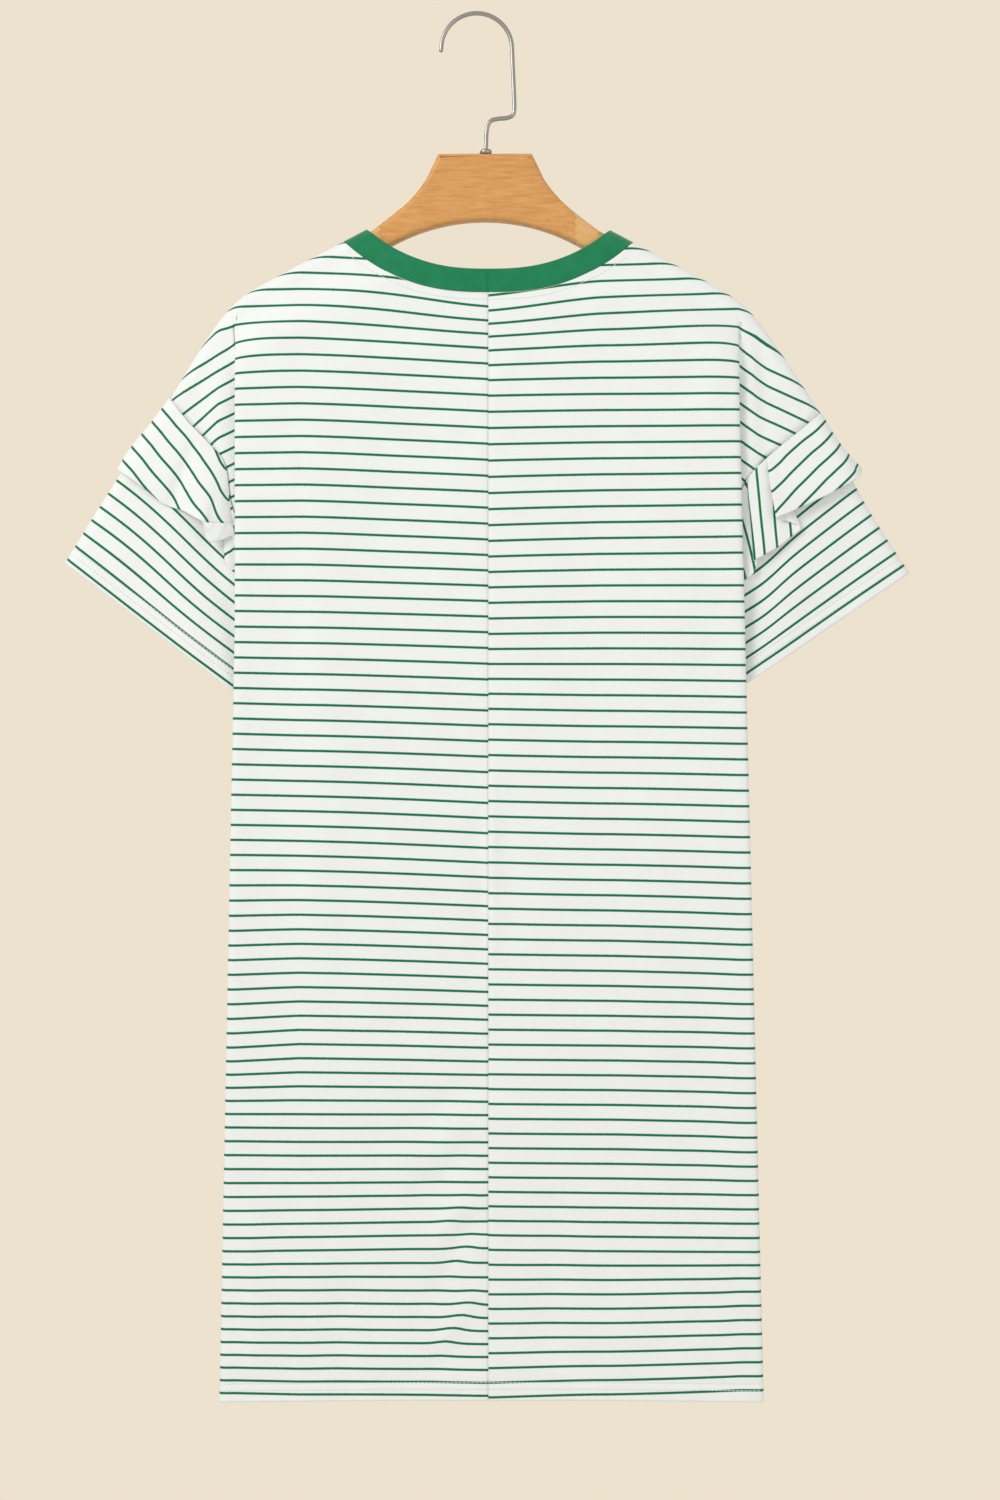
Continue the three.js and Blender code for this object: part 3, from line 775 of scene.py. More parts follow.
# A ruffle is a smooth surface through listed ribs, from its seam to its free edge. Each rib
# has four points: share of the armhole, share of the sleeve's length, and height above the sleeve.
# Ribs that turn back make a pleat, and ribs that come back at their end a hem that curls over.
RUFFLE_RIBS = {
    "left": [
        [(0, 0.001, 1.0), (0, 0.15, 2.2), (0, 0.33, 4.8), (0, 0.452, 4.4)],
        [(0.07, 0.001, 0.9), (0.085, 0.15, 3.0), (0.10, 0.30, 4.6), (0.118, 0.425, 4.8)],
        [(0.13, 0.001, 0.9), (0.15, 0.15, 3.4), (0.175, 0.30, 4.2), (0.20, 0.42, 3.2)],
        [(0.18, 0.001, 0.9), (0.198, 0.14, 1.5), (0.222, 0.28, 1.7), (0.245, 0.40, 1.9)],
        [(0.22, 0.001, 0.9), (0.24, 0.13, 3.2), (0.262, 0.26, 4.6), (0.282, 0.375, 5.0)],
        [(0.26, 0.001, 0.9), (0.285, 0.12, 4.4), (0.312, 0.25, 7.0), (0.335, 0.345, 8.0)],
        [(0.30, 0.001, 1.0), (0.345, 0.12, 5.0), (0.385, 0.24, 8.6), (0.385, 0.30, 10.5)],
        [(0.335, 0.001, 1.0), (0.40, 0.13, 5.4), (0.475, 0.29, 8.2), (0.425, 0.252, 11.0)],
        [(0.38, 0.001, 1.0), (0.445, 0.10, 4.8), (0.525, 0.205, 7.2), (0.49, 0.14, 9.6)],
        [(0.43, 0.001, 1.0), (0.50, 0.06, 2.6), (0.565, 0.10, 3.4), (0.545, 0.06, 4.6)],
        [(0.45, 0.001, 0.9), (0.55, 0.06, 1.3), (0.61, 0.11, 1.3), (0.62, 0.13, 1.2)],
        [(0.44, 0.001, 0.8), (0.49, 0.09, 1.2), (0.535, 0.17, 1.6), (0.575, 0.245, 2.0)],
        [(0.50, 0.001, 0.8), (0.54, 0.09, 1.4), (0.58, 0.18, 1.9), (0.615, 0.262, 2.2)],
        [(0.60, 0.001, 0.8), (0.63, 0.08, 1.1), (0.66, 0.15, 1.3), (0.68, 0.22, 1.3)],
        [(0.82, 0.001, 0.8), (0.82, 0.03, 0.9), (0.82, 0.05, 1.0), (0.82, 0.07, 1.0)],
    ],
    "right": [
        [(0, 0.001, 1.0), (0, 0.14, 3.0), (0, 0.27, 7.0), (0, 0.366, 11.0)],
        [(0.055, 0.001, 0.9), (0.045, 0.15, 3.2), (0.03, 0.29, 6.0), (0.012, 0.405, 8.0)],
        [(0.12, 0.001, 0.9), (0.12, 0.14, 3.2), (0.12, 0.27, 5.6), (0.12, 0.385, 7.6)],
        [(0.185, 0.001, 0.9), (0.20, 0.13, 3.6), (0.222, 0.25, 6.6), (0.24, 0.35, 8.6)],
        [(0.235, 0.001, 0.9), (0.258, 0.12, 4.2), (0.285, 0.23, 7.6), (0.307, 0.325, 9.8)],
        [(0.275, 0.001, 2.0), (0.306, 0.10, 5.6), (0.336, 0.20, 8.8), (0.366, 0.298, 10.4)],
        [(0.272, 0.001, 1.5), (0.304, 0.11, 4.4), (0.33, 0.22, 6.2), (0.352, 0.322, 7.0)],
        [(0.258, 0.001, 1.0), (0.272, 0.15, 2.4), (0.286, 0.30, 3.6), (0.296, 0.432, 4.6)],
        [(0.272, 0.001, 0.8), (0.292, 0.15, 1.8), (0.322, 0.30, 3.0), (0.346, 0.44, 4.2)],
        [(0.30, 0.001, 0.9), (0.336, 0.15, 2.8), (0.38, 0.29, 4.4), (0.42, 0.424, 5.4)],
        [(0.335, 0.001, 0.9), (0.385, 0.13, 3.6), (0.44, 0.25, 5.6), (0.497, 0.372, 6.4)],
        [(0.385, 0.001, 1.1), (0.44, 0.10, 3.0), (0.50, 0.21, 4.4), (0.556, 0.324, 5.0)],
        [(0.382, 0.001, 0.8), (0.43, 0.11, 1.6), (0.48, 0.23, 2.2), (0.53, 0.345, 2.8)],
        [(0.42, 0.001, 0.8), (0.475, 0.12, 1.3), (0.535, 0.25, 2.4), (0.588, 0.375, 3.2)],
        [(0.50, 0.001, 0.8), (0.55, 0.11, 1.1), (0.60, 0.22, 1.3), (0.64, 0.33, 1.3)],
        [(0.60, 0.001, 0.8), (0.64, 0.08, 1.0), (0.67, 0.15, 1.1), (0.69, 0.22, 1.1)],
        [(0.82, 0.001, 0.8), (0.82, 0.03, 0.9), (0.82, 0.05, 1.0), (0.82, 0.07, 1.0)],
    ],
}
# The stripe's number on each rib, at the seam and at the free edge.
RUFFLE_STRIPES = {
    "left": [(-0.8, 4.7), (-0.76, 4.1), (-0.71, 3.9), (-0.8, 3.5), (-0.85, 2.95), (-0.97, 2.55),
             (-1.25, 2.3), (-1.15, 3.4), (-0.75, 2.5), (-0.35, 1.6), (-0.1, 1.6), (-1.1, 2.0),
             (0.0, 2.7), (1.2, 3.2), (2.0, 2.4)],
    "right": [(-0.62, 4.4), (-0.75, 4.5), (-0.66, 3.85), (-0.65, 3.15), (-0.75, 2.7), (-0.68, 2.3),
              (-0.4, 2.4), (1.9, 0.4), (2.2, 0.95), (2.5, 1.9), (3.0, 3.0), (3.8, 4.15),
              (3.9, 4.4), (4.1, 5.25), (5.0, 6.2), (6.0, 7.0), (8.0, 8.5)],
}
RIB_STEPS = 9  # columns from rib to rib
STATION_GAP = 9  # millimetres of cloth from rib to rib
RUFFLE_SHELL = 0.9
RUFFLE_NEAREST = 0.7  # height of the ruffle above the sleeve at the least


def lifted(side, around, k, lift):
    """Points at a height above the sleeve, square to it."""
    step = 0.01
    p = sleeve_points(side, around, k)
    across = sleeve_points(side, around + step, k) - sleeve_points(side, around - step, k)
    ahead = sleeve_points(side, around, k + step) - p
    normal = np.cross(across, ahead)
    normal /= np.linalg.norm(normal, axis=-1, keepdims=True)
    return p + normal * lift[..., None]


def stripe_pitch_of(stripe, p):
    """Distance on the cloth from stripe to stripe, from how fast the stripe's number changes."""
    down, across = np.gradient(p, axis=0), np.gradient(p, axis=1)
    n_down, n_across = np.gradient(stripe, axis=0), np.gradient(stripe, axis=1)
    a, b, c = (np.sum(u * v, -1) for u, v in ((down, down), (down, across), (across, across)))
    area = np.maximum(a * c - b * b, 1e-3 * a * c + 1e-9)
    slope = (c * n_down**2 - 2 * b * n_down * n_across + a * n_across**2) / area
    return np.clip(1 / np.sqrt(np.maximum(slope, 1e-9)), 7, 30)


def ruffle(side, name, materials):
    """One ruffle, whose front half mirrors its back half."""
    ribs = np.array(RUFFLE_RIBS[side.name], float)
    across = np.linspace(0, len(ribs) - 1, (len(ribs) - 1) * RIB_STEPS + 1)
    controls = catmull_rom(ribs, across)
    surface = catmull_rom(controls.transpose(1, 0, 2), np.linspace(0, 3, 31))
    surface = np.maximum(surface, [0, 0, RUFFLE_NEAREST])
    surface = np.concatenate([surface[:, ::-1], surface[:, 1:] * [-1, 1, 1]], 1)
    p = lifted(side, *(surface[..., i] for i in range(3)))
    run = lengths(p)
    start, end = np.array(RUFFLE_STRIPES[side.name], float).T
    rate = (end - start) / run[-1, len(across) - 1::-RIB_STEPS]
    lines = catmull_rom(np.stack([start, rate], -1), across)
    start, rate = np.concatenate([lines[::-1], lines[1:]]).T
    stripe = start + rate * run
    stations = np.concatenate([across[::-1], -across[1:]]) * STATION_GAP
    p[..., 0] *= side.sign
    return cloth(name, [{
        "p": p,
        "stripe": stripe,
        "pitch": stripe_pitch_of(stripe, p),
        "weave": np.stack([np.broadcast_to(stations, run.shape), run], -1),
        "extra": 0,
    }], materials, thickness=RUFFLE_SHELL)


# ---- Stitches ----

THREAD = SimpleNamespace(length=2.7, gap=0.55, radius=0.26, sink=0.08)
TWIN_GAP = 5.0


def evenly(points, step):
    """Places along a curve a step apart."""
    length = lengths(points)
    return interpolated(np.arange(step / 2, length[-1], step), length, points)


def laid_on(targets, places, face):
    """Where places seen from the back or the front lie on the cloth, and the cloth's normals."""
    found = []
    for x, z in places:
        start = Vector(((x + CENTRE_X) * MM, face * 0.2, z * MM))
        hits = [tree.ray_cast(start, Vector((0, -face, 0))) for tree in targets]
        hits = [(hit[3], hit[0], hit[1]) for hit in hits if hit[0] is not None]
        if hits:
            _, at, normal = min(hits, key=lambda hit: hit[0])
            found.append([*at, *normal])
    found = np.array(found)
    return found[:, :3] / MM - [CENTRE_X, 0, 0], found[:, 3:]


def stitches(name, targets, rows, material):
    """Stitches of thread, one after another along rows on the cloth, as one mesh."""
    trees = []
    for mesh in (target.data for target in targets):
        corners = [polygon.vertices for polygon in mesh.polygons]
        trees.append(BVHTree.FromPolygons([v.co for v in mesh.vertices], corners))
    turn = around_circle(6)
    rings = [(-0.5, 0.45), (-0.3, 1), (0.3, 1), (0.5, 0.45)]  # share of the length, and of the radius
    ids = np.arange(len(rings) * len(turn)).reshape(len(rings), len(turn))
    stitch = ring_faces(ids) + [ids[0][::-1].tolist(), ids[-1].tolist()]
    points, faces = [], []
    for curve, face in rows:
        at, normal = laid_on(trees, evenly(np.asarray(curve, float), THREAD.length + THREAD.gap), face)
        along = np.gradient(at, axis=0)
        along /= np.linalg.norm(along, axis=1, keepdims=True)
        normal[normal[:, 1] * face < 0] *= -1
        side = np.cross(along, normal)
        for p, a, n, b in zip(at, along, normal, side):
            first = len(points)
            for share, width in rings:
                rise = THREAD.radius * (1.1 - 3.2 * share**2) - THREAD.sink
                for t in turn:
                    points.append(p + a * share * THREAD.length + n * rise
                                  + (b * np.cos(t) + n * np.sin(t)) * THREAD.radius * width)
            faces += [[v + first for v in face_ids] for face_ids in stitch]
    return new_object(name, to_part(points), faces, [material])


def body_hem_rows():
    """Two rows round the body's hem, on both faces."""
    for above in (HEM_DEPTH, HEM_DEPTH - TWIN_GAP):
        z = HEM_Z + above
        x = np.linspace(2 - crease_x(LEFT, z), crease_x(RIGHT, z) - 2, 300)
        for face in (BACK, FRONT):
            yield np.stack([x, np.full_like(x, z)], -1), face


def neck_rows():
    """The row that holds the band's seam down, on both faces."""
    for side in (LEFT, RIGHT):
        x = np.linspace(1, 0.94 * NECK.half, 200)
        for face, low in ((BACK, NECK.back), (FRONT, NECK.front)):
            z = neck_z(side, NECK, low, x) - 5.5
            slope = np.gradient(z, x)
            z -= 5.5 * (np.sqrt(1 + np.minimum(slope, 2) ** 2) - 1)
            yield np.stack([side.sign * x, z], -1), face


def sleeve_hem_rows(side):
    """Two rows round a sleeve's hem, on both faces."""
    share = np.linspace(0.015, 0.97, 160)
    for up in (HEM_DEPTH, HEM_DEPTH - TWIN_GAP):
        for face in (BACK, FRONT):
            around = share if face == BACK else -share
            armhole_to_cuff = sleeve_points(side, around, 1) - sleeve_points(side, around, 0)
            p = sleeve_points(side, around, 1 - up / np.linalg.norm(armhole_to_cuff, axis=-1))
            yield np.stack([side.sign * p[:, 0], p[:, 2]], -1), face


# ---- Materials ----

def linear(*rgb):
    """A colour given as 0 to 255, as the shader's linear values."""
    shares = [c / 255 for c in rgb]
    return (*(c / 12.92 if c <= 0.04 else ((c + 0.055) / 1.055) ** 2.4 for c in shares), 1.0)


def darker(colour, share):
    return (*(share * c for c in colour[:3]), 1.0)


class Nodes:
    """Short calls that add nodes to one material."""

    def __init__(self, name):
        self.material = bpy.data.materials.new(name)
        self.material.use_nodes = True
        self.tree = self.material.node_tree
        self.shader = self.tree.nodes["Principled BSDF"]

    def add(self, kind, **settings):
        node = self.tree.nodes.new(kind)
        for key, value in settings.items():
            setattr(node, key, value)
        return node

    def link(self, source, target):
        self.tree.links.new(source, target)

    def put(self, socket, value):
        if isinstance(value, bpy.types.NodeSocket):
            self.link(value, socket)
        else:
            socket.default_value = value

    def math(self, operation, *values):
        node = self.add("ShaderNodeMath", operation=operation)
        for socket, value in zip(node.inputs, values):
            self.put(socket, value)
        return node.outputs[0]

    def times(self, a, b):
        return self.math("MULTIPLY", a, b)

    def apart(self, a, b):
        """The distance between two values."""
        return self.math("ABSOLUTE", self.math("SUBTRACT", a, b))

    def place(self):
        """Where the point is on the object, in metres."""
        return self.add("ShaderNodeTexCoord").outputs["Object"]

    def scaled(self, vector, scale):
        node = self.add("ShaderNodeMapping")
        self.link(vector, node.inputs["Vector"])
        node.inputs["Scale"].default_value = scale
        return node.outputs[0]

    def split(self, vector):
        node = self.add("ShaderNodeSeparateXYZ")
        self.link(vector, node.inputs[0])
        return node.outputs

    def attribute(self, name, output="Fac"):
        return self.add("ShaderNodeAttribute", attribute_name=name).outputs[output]

    def blend(self, share, a, b):
        node = self.add("ShaderNodeMix", data_type="RGBA")
        self.put(node.inputs["Factor"], share)
        self.put(node.inputs["A"], a)
        self.put(node.inputs["B"], b)
        return node.outputs["Result"]

    def noise(self, vector, scale, detail=2.0, roughness=0.5):
        node = self.add("ShaderNodeTexNoise")
        self.link(vector, node.inputs["Vector"])
        node.inputs["Scale"].default_value = scale
        node.inputs["Detail"].default_value = detail
        node.inputs["Roughness"].default_value = roughness
        return node.outputs["Fac"]

    def map_range(self, value, low, high, to_low=0.0, to_high=1.0, smoothly=False):
        node = self.add("ShaderNodeMapRange")
        if smoothly:
            node.interpolation_type = "SMOOTHSTEP"
        names = ("Value", "From Min", "From Max", "To Min", "To Max")
        for name, given in zip(names, (value, low, high, to_low, to_high)):
            self.put(node.inputs[name], given)
        return node.outputs["Result"]

    def bump(self, height, distance, strength, normal=None):
        node = self.add("ShaderNodeBump")
        self.put(node.inputs["Height"], height)
        node.inputs["Distance"].default_value = distance
        node.inputs["Strength"].default_value = strength
        if normal is not None:
            self.link(normal, node.inputs["Normal"])
        return node.outputs["Normal"]

    def set(self, **values):
        for key, value in values.items():
            self.put(self.shader.inputs[key.replace("_", " ")], value)


WHITE = linear(246, 250, 248)
GREEN = linear(0, 110, 67)
RIB_GREEN = linear(32, 137, 90)
WALE = 0.75  # distance between two columns of knit stitches, in millimetres
COURSE = 0.62  # and between two rows of them
RIB_PITCH = 1.5  # distance between two ribs of the neckband


def knit_height(nodes, weave):
    """Columns of small V stitches, from the cloth's own coordinates in millimetres."""
    place = nodes.split(weave)
    column = nodes.times(place["X"], 2 * math.pi / WALE)
    wale = nodes.math("COSINE", column)
    lean = nodes.times(nodes.math("ABSOLUTE", nodes.math("SINE", nodes.times(column, 0.5))), 1.6)
    row = nodes.math("ADD", nodes.times(place["Y"], 2 * math.pi / COURSE), lean)
    return nodes.math("ADD", wale, nodes.times(nodes.math("SINE", row), 0.35))


def jersey(name, print_strength):
    """White jersey. Its right side has thin printed stripes, which show faintly on the wrong side."""
    nodes = Nodes(name)
    weave = nodes.attribute("weave", "Vector")
    whole = nodes.math("FRACT", nodes.math("ADD", nodes.attribute("stripe"), 0.5))
    distance = nodes.times(nodes.apart(whole, 0.5), nodes.attribute("pitch"))
    ragged = nodes.times(nodes.math("SUBTRACT", nodes.noise(weave, 1.1, 1.0), 0.5), 0.35)
    distance = nodes.math("ADD", distance, ragged)
    half = STRIPE_THICK / 2
    line = nodes.map_range(distance, half - 0.2, half + 0.2, 1.0, 0.0)
    mottled = nodes.map_range(nodes.noise(weave, 0.045, 4.0), 0.3, 0.7)
    white = nodes.blend(mottled, WHITE, linear(244, 246, 246))
    yarn = nodes.map_range(nodes.noise(weave, 0.9), 0.35, 0.75)
    green = nodes.blend(yarn, GREEN, linear(16, 126, 84))
    knit = nodes.bump(knit_height(nodes, weave), 0.00006, 0.35)
    nodes.set(Base_Color=nodes.blend(nodes.times(line, print_strength), white, green), Roughness=0.88,
              Sheen_Weight=0.12, Sheen_Roughness=0.45, Specular_IOR_Level=0.25,
              Normal=nodes.bump(nodes.noise(weave, 0.35, 3.0), 0.0006, 0.25, knit))
    return nodes.material


def rib_knit():
    """Green rib: narrow ribs that run across the band, with painted shade: the green is darker in the
    valleys between the ribs and lighter on their tops.
    """
    nodes = Nodes("green_rib")
    weave = nodes.attribute("weave", "Vector")
    wave = nodes.math("COSINE", nodes.times(nodes.split(weave)["X"], 2 * math.pi / RIB_PITCH))
    # Painted shade: the colour follows the ribs' bump, darker green in the valleys and lighter green on the
    # ridges.
    light = nodes.map_range(wave, -1.0, 1.0, smoothly=True)
    colour = nodes.blend(light, linear(22, 118, 76), RIB_GREEN)
    mottled = nodes.map_range(nodes.noise(weave, 0.08, 3.0), 0.3, 0.7)
    colour = nodes.blend(nodes.times(mottled, 0.35), colour, linear(48, 152, 104))
    nodes.set(Base_Color=colour, Roughness=0.85, Sheen_Weight=0.35, Sheen_Roughness=0.4,
              Specular_IOR_Level=0.2, Normal=nodes.bump(wave, 0.0002, 0.5))
    return nodes.material


def thread(name, colour):
    nodes = Nodes(name)
    tone = nodes.noise(nodes.place(), 900)
    nodes.set(Base_Color=nodes.blend(tone, colour, darker(colour, 0.85)), Roughness=0.6,
              Sheen_Weight=0.2, Normal=nodes.bump(tone, 0.0001, 0.4))
    return nodes.material


# Finger-jointed blocks of paler wood: middle, from the hook's crown, and half width.
JOINTS = [(-84.5, 11), (86, 11)]


def beech():
    """Beech with fine flecks along its length, and paler blocks where lengths are joined."""
    nodes = Nodes("beech_wood")
    place = nodes.place()
    grain = nodes.noise(nodes.scaled(place, (1, 4, 9)), 60, 5.0, 0.6)
    colour = nodes.blend(nodes.map_range(grain, 0.3, 0.7), linear(206, 140, 68), linear(229, 170, 98))
    fleck = nodes.map_range(nodes.noise(nodes.scaled(place, (1, 6, 6)), 260), 0.6, 0.72)
    colour = nodes.blend(nodes.times(fleck, 0.45), colour, linear(176, 108, 46))
    x, _, z = nodes.split(place)
    teeth = nodes.math("PINGPONG", z, 0.003)
    for middle, half in JOINTS:
        off = nodes.math("ADD", nodes.apart(x, middle * MM), teeth)
        inside = nodes.map_range(off, half * MM - 0.0004, half * MM + 0.0004, 1.0, 0.0)
        colour = nodes.blend(nodes.times(inside, 0.55), colour, linear(238, 190, 122))
        glue = nodes.map_range(nodes.apart(off, half * MM), 0.0, 0.0006, 0.45, 0.0)
        colour = nodes.blend(glue, colour, linear(150, 88, 36))
    nodes.set(Base_Color=colour, Roughness=nodes.map_range(grain, 0.2, 0.8, 0.42, 0.55),
              Coat_Weight=0.25, Coat_Roughness=0.3, Normal=nodes.bump(grain, 0.0002, 0.25))
    return nodes.material


def steel():
    nodes = Nodes("hook_steel")
    drawn = nodes.noise(nodes.place(), 400, 3.0)
    nodes.set(Base_Color=(0.40, 0.385, 0.36, 1), Metallic=1.0,
              Roughness=nodes.map_range(drawn, 0.2, 0.8, 0.28, 0.42),
              Normal=nodes.bump(drawn, 0.00005, 0.3))
    return nodes.material


def plain(name, colour, roughness):
    nodes = Nodes(name)
    tone = nodes.noise(nodes.place(), 3.0)
    nodes.set(Base_Color=nodes.blend(tone, colour, darker(colour, 0.97)), Roughness=roughness)
    return nodes.material


# ---- Hanger ----

HANGER = SimpleNamespace(offset=-2.7, thick=14, edge=4, top=-108.5, top_half=37.5, under=-161,
                         under_rise=20.7, under_half=75.7)
HOOK = SimpleNamespace(wire=3.5, radius=27.6, offset=-9.3)
FERRULE = SimpleNamespace(bore=2.1, outer=4.8, high=3.6)


def hanger_outline():
    """Half of the hanger's outline, from the middle of its top edge round to its underside."""
    h = HANGER
    neck = [(h.top_half, h.top - 2), (41, -117.7), (47.6, -130.6), (58, -143.5), (70, -154.3), (89, -168.8)]
    tip = [(185, -220.6), (190.8, -227), (192.4, -236), (188, -245), (177, -241)]
    radius = (h.under_half**2 + h.under_rise**2) / (2 * h.under_rise)
    x = np.linspace(h.under_half, 0, 28)
    arc = np.stack([x, h.under - radius + np.sqrt(radius**2 - x**2)], -1)
    corner = [(h.top_half - 2, h.top), (h.top_half - 0.6, h.top - 0.5)]
    parts = [[(0, h.top)], corner, spline(neck, 40)[0], spline(tip, 36)[0], arc]
    return np.concatenate([np.asarray(part, float) for part in parts])


def hanger_body(material):
    half = hanger_outline()
    other = half[1:-1][::-1] * [-1, 1]
    outline = np.concatenate([half, other])
    curve = bpy.data.curves.new("hanger_wood", "CURVE")
    curve.dimensions = "2D"
    curve.fill_mode = "BOTH"
    curve.extrude = (HANGER.thick / 2 - HANGER.edge) * MM
    curve.bevel_depth = HANGER.edge * MM
    curve.bevel_resolution = 6
    curve.offset = -HANGER.edge * MM
    line = curve.splines.new("POLY")
    line.points.add(len(outline) - 1)
    flat, weights = np.zeros((len(outline), 1)), np.ones((len(outline), 1))
    line.points.foreach_set("co", np.concatenate([outline * MM, flat, weights], 1).ravel())
    line.use_cyclic_u = True
    made = bpy.data.objects.new("hanger_wood_outline", curve)
    bpy.context.scene.collection.objects.link(made)
    bpy.context.view_layer.update()
    mesh = bpy.data.meshes.new_from_object(made.evaluated_get(bpy.context.evaluated_depsgraph_get()))
    bpy.data.objects.remove(made)
    at = np.empty(len(mesh.vertices) * 3)
    mesh.vertices.foreach_get("co", at)
    at = at.reshape(-1, 3)
    upright = np.stack([at[:, 0] + (CENTRE_X + HANGER.offset) * MM, -at[:, 2], at[:, 1]], -1)
    mesh.vertices.foreach_set("co", upright.ravel())
    mesh.materials.clear()
    mesh.materials.append(material)
    shade_smooth(mesh)
    obj = bpy.data.objects.new("hanger_wood", mesh)
    bpy.context.scene.collection.objects.link(obj)
    return obj


def hook_line():
    """The hook's centre line: up from the wood, a step to the right, up again and round over the top."""
    centre_z = HOOK.wire / 2 - HOOK.radius
    foot = [(7, HANGER.top + 0.3), (7.4, -99), (8, -89), (10.6, -82.6), (16, -80.7), (23.6, -79.9),
            (28.2, -77.6), (29.4, -72), (29, -58), (28.2, -40)]
    angles = np.pi * np.arange(15) / 14
    bow = np.stack([HOOK.radius * np.cos(angles), centre_z + HOOK.radius * np.sin(angles)], -1)
    points = np.concatenate([foot, bow, [(-HOOK.radius - 0.2, centre_z - 3)]])
    return spline(points, 2000)


def hanger_hook(material):
    """A round wire with a domed end."""
    curve = hook_line()
    radius = HOOK.wire / 2
    dome_from = 1 - radius / lengths(curve[0])[-1]
    dome = np.radians(np.linspace(0, 90, 8))[1:]
    straight = np.linspace(0, dome_from, 240)
    shares = np.concatenate([straight, 1 - (1 - dome_from) * (1 - np.sin(dome))])
    radii = radius * np.concatenate([np.ones_like(straight), np.cos(dome)])
    radii[-1] = 0.02
    centre = along_curve(curve, shares)
    tangent = np.gradient(centre, axis=0)
    tangent /= np.linalg.norm(tangent, axis=1, keepdims=True)
    turn = around_circle(24)
    ring = np.stack([
        centre[:, :1] - np.outer(radii * tangent[:, 1], np.cos(turn)),
        np.outer(radii, np.sin(turn)),
        centre[:, 1:] + np.outer(radii * tangent[:, 0], np.cos(turn)),
    ], -1)
    ids = np.arange(ring[..., 0].size).reshape(ring.shape[:2])
    faces = ring_faces(ids) + [ids[0][::-1].tolist(), ids[-1].tolist()]
    points = ring.reshape(-1, 3) + [HOOK.offset, 0, 0]
    return faces_out(new_object("hook_wire", to_part(points), faces, [material]))


def ferrule(material):
    """The small turned collar round the foot of the hook."""
    bore, outer, high = FERRULE.bore, FERRULE.outer, FERRULE.high
    dome = [(outer * (0.72 + 0.28 * math.cos(a)), high * (0.55 + 0.45 * math.sin(a)))
            for a in np.radians(np.linspace(0, 90, 6))]
    profile = np.array([(bore, 0), (outer - 0.3, 0), (outer, 0.3), *dome, (bore, high)])
    turn = around_circle(40)
    ring = np.stack([
        np.outer(profile[:, 0], np.cos(turn)),
        np.outer(profile[:, 0], np.sin(turn)),
        np.broadcast_to(profile[:, 1:], (len(profile), len(turn))),
    ], -1)
    ids = np.arange(ring[..., 0].size).reshape(ring.shape[:2])
    points = ring.reshape(-1, 3) + [HOOK.offset + 7.1, 0, HANGER.top + 0.35]
    faces = ring_faces(np.concatenate([ids, ids[:1]]))
    return faces_out(new_object("hook_collar", to_part(points), faces, [material]))


# ---- Camera and light ----

def aim(obj, target):
    """Turns a light to look at a point."""
    x, y, z = np.array(target) - np.array(obj.location)
    tilt = math.acos(-z / math.hypot(x, y, z))
    obj.rotation_euler = (tilt, 0, math.atan2(y, x) - math.pi / 2)


def camera():
    data = bpy.data.cameras.new("camera")
    data.sensor_width = 36
    view_height, away = 1.170, 2.2
    data.lens = 36 * away / view_height
    obj = bpy.data.objects.new("camera", data)
    obj.location = (0.0183, -away, -0.5729)
    obj.rotation_euler = (math.pi / 2, 0, 0)
    bpy.context.scene.collection.objects.link(obj)
    bpy.context.scene.camera = obj


def area_light(name, location, size, energy, colour=(1, 1, 1)):
    data = bpy.data.lights.new(name, "AREA")
    data.shape = "DISK"
    data.size = size
    data.energy = energy
    data.color = colour
    obj = bpy.data.objects.new(name, data)
    obj.location = location
    aim(obj, (0.02, 0, -0.55))
    bpy.context.scene.collection.objects.link(obj)


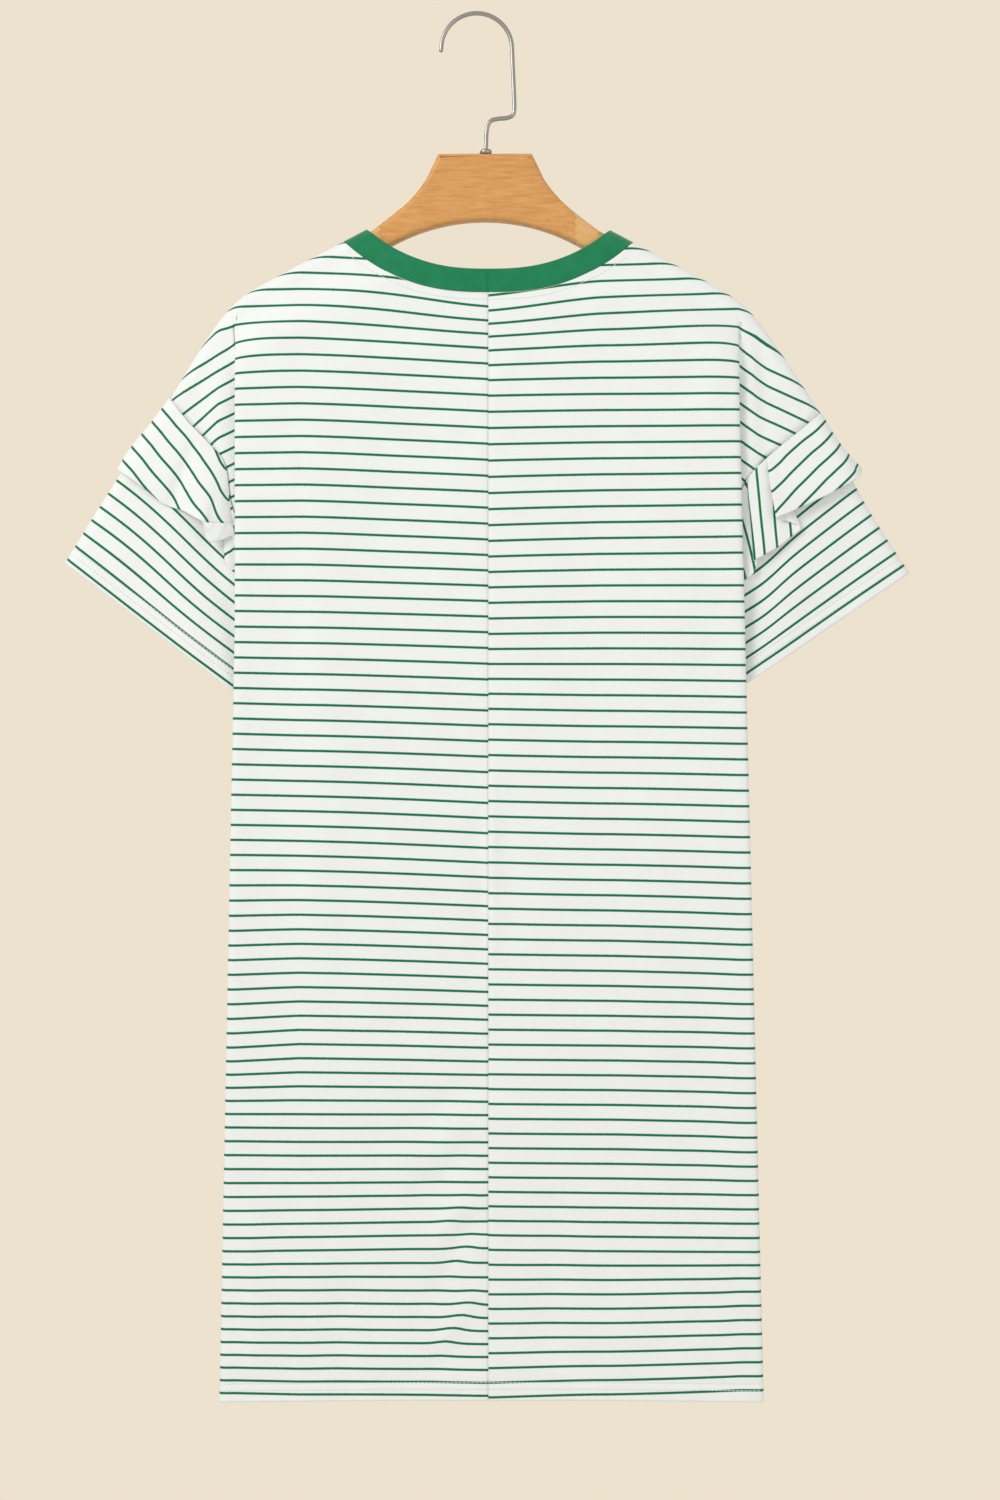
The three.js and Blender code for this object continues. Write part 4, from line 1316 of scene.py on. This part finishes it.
def studio():
    """A bright room: a plain backdrop, soft light from all round, and three lamps."""
    scene = bpy.context.scene
    scene.view_settings.view_transform = "Standard"
    world = bpy.data.worlds.new("studio")
    world.use_nodes = True
    scene.world = world
    tree = world.node_tree
    seen = tree.nodes["Background"]
    seen.inputs["Color"].default_value = linear(237, 226, 205)
    seen.inputs["Strength"].default_value = 1.0
    lit = tree.nodes.new("ShaderNodeBackground")
    lit.inputs["Color"].default_value = (1.0, 0.985, 0.96, 1)
    lit.inputs["Strength"].default_value = 0.665
    ray = tree.nodes.new("ShaderNodeLightPath")
    both = tree.nodes.new("ShaderNodeMixShader")
    tree.links.new(ray.outputs["Is Camera Ray"], both.inputs[0])
    tree.links.new(lit.outputs[0], both.inputs[1])
    tree.links.new(seen.outputs[0], both.inputs[2])
    tree.links.new(both.outputs[0], tree.nodes["World Output"].inputs["Surface"])
    area_light("key", (-1.7, -1.9, 0.75), 1.1, 27.5, (1, 0.985, 0.96))
    area_light("fill", (1.9, -2.0, -0.6), 1.6, 7)
    area_light("behind", (-0.8, 2.2, 0.8), 1.6, 22)

    floor_z, radius = -1.5, 0.9
    turn = around_circle(96)
    x, y = radius * np.cos(turn) + 0.018, radius * np.sin(turn)
    rim = np.stack([x, y, np.full_like(x, floor_z)], -1)
    floor = new_object("floor", rim, [list(range(len(rim)))], [plain("floor", linear(236, 230, 218), 0.9)])


# ---- Assembly ----

camera()
studio()

OUT = jersey("striped_jersey", 1.0)
IN = jersey("jersey_wrong_side", 0.1)
RIB = rib_knit()
BEECH = beech()
STEEL = steel()
WHITE_THREAD = thread("white_thread", linear(238, 240, 240))

body = "root"
jerseys = [OUT, IN]
pieces = [
    (back_panel(LEFT, "back_left", jerseys), "back_left_panel", "striped_jersey", (0.27, 0.90), 0.226),
    (back_panel(RIGHT, "back_right", jerseys), "back_right_panel", "striped_jersey", (0.27, 0.90), 0.229),
    (front_panel(jerseys), "front_panel", "striped_jersey", (0.53, 0.90), 0.446),
    (neckband([RIB, RIB]), "neckband", "green_rib", (0.56, 0.02), 0.0103),
    (sleeve(LEFT, "left_sleeve", jerseys), "sleeve_left", "striped_jersey", (0.40, 0.19), 0.0445),
    (sleeve(RIGHT, "right_sleeve", jerseys), "sleeve_right", "striped_jersey", (0.40, 0.19), 0.0427),
    (ruffle(LEFT, "left_ruffle", jerseys), "ruffle_left", "striped_jersey", (0.40, 0.07), 0.0151),
    (ruffle(RIGHT, "right_ruffle", jerseys), "ruffle_right", "striped_jersey", (0.40, 0.07), 0.0168),
]
for piece, node, slot, flat, area in pieces:
    faces_out(piece)
    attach(piece, body)
    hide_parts(node)

cloths = {piece.name: piece for piece, *_ in pieces}
for name, onto, rows in (
    ("body_hem_stitches", ("back_left", "back_right", "front"), body_hem_rows()),
    ("neck_stitches", ("back_left", "back_right", "front"), neck_rows()),
    ("left_hem_stitches", ("left_sleeve",), sleeve_hem_rows(LEFT)),
    ("right_hem_stitches", ("right_sleeve",), sleeve_hem_rows(RIGHT)),
):
    sewn = stitches(name, [cloths[key] for key in onto], rows, WHITE_THREAD)
    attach(sewn, body)

for piece, node, slot in (
    (hanger_body(BEECH), "hanger_body", "beech_wood"),
    (hanger_hook(STEEL), "hanger_hook", "hook_steel"),
    (ferrule(STEEL), "hook_ferrule", "hook_steel"),
):
    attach(piece, body)
    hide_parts(node)
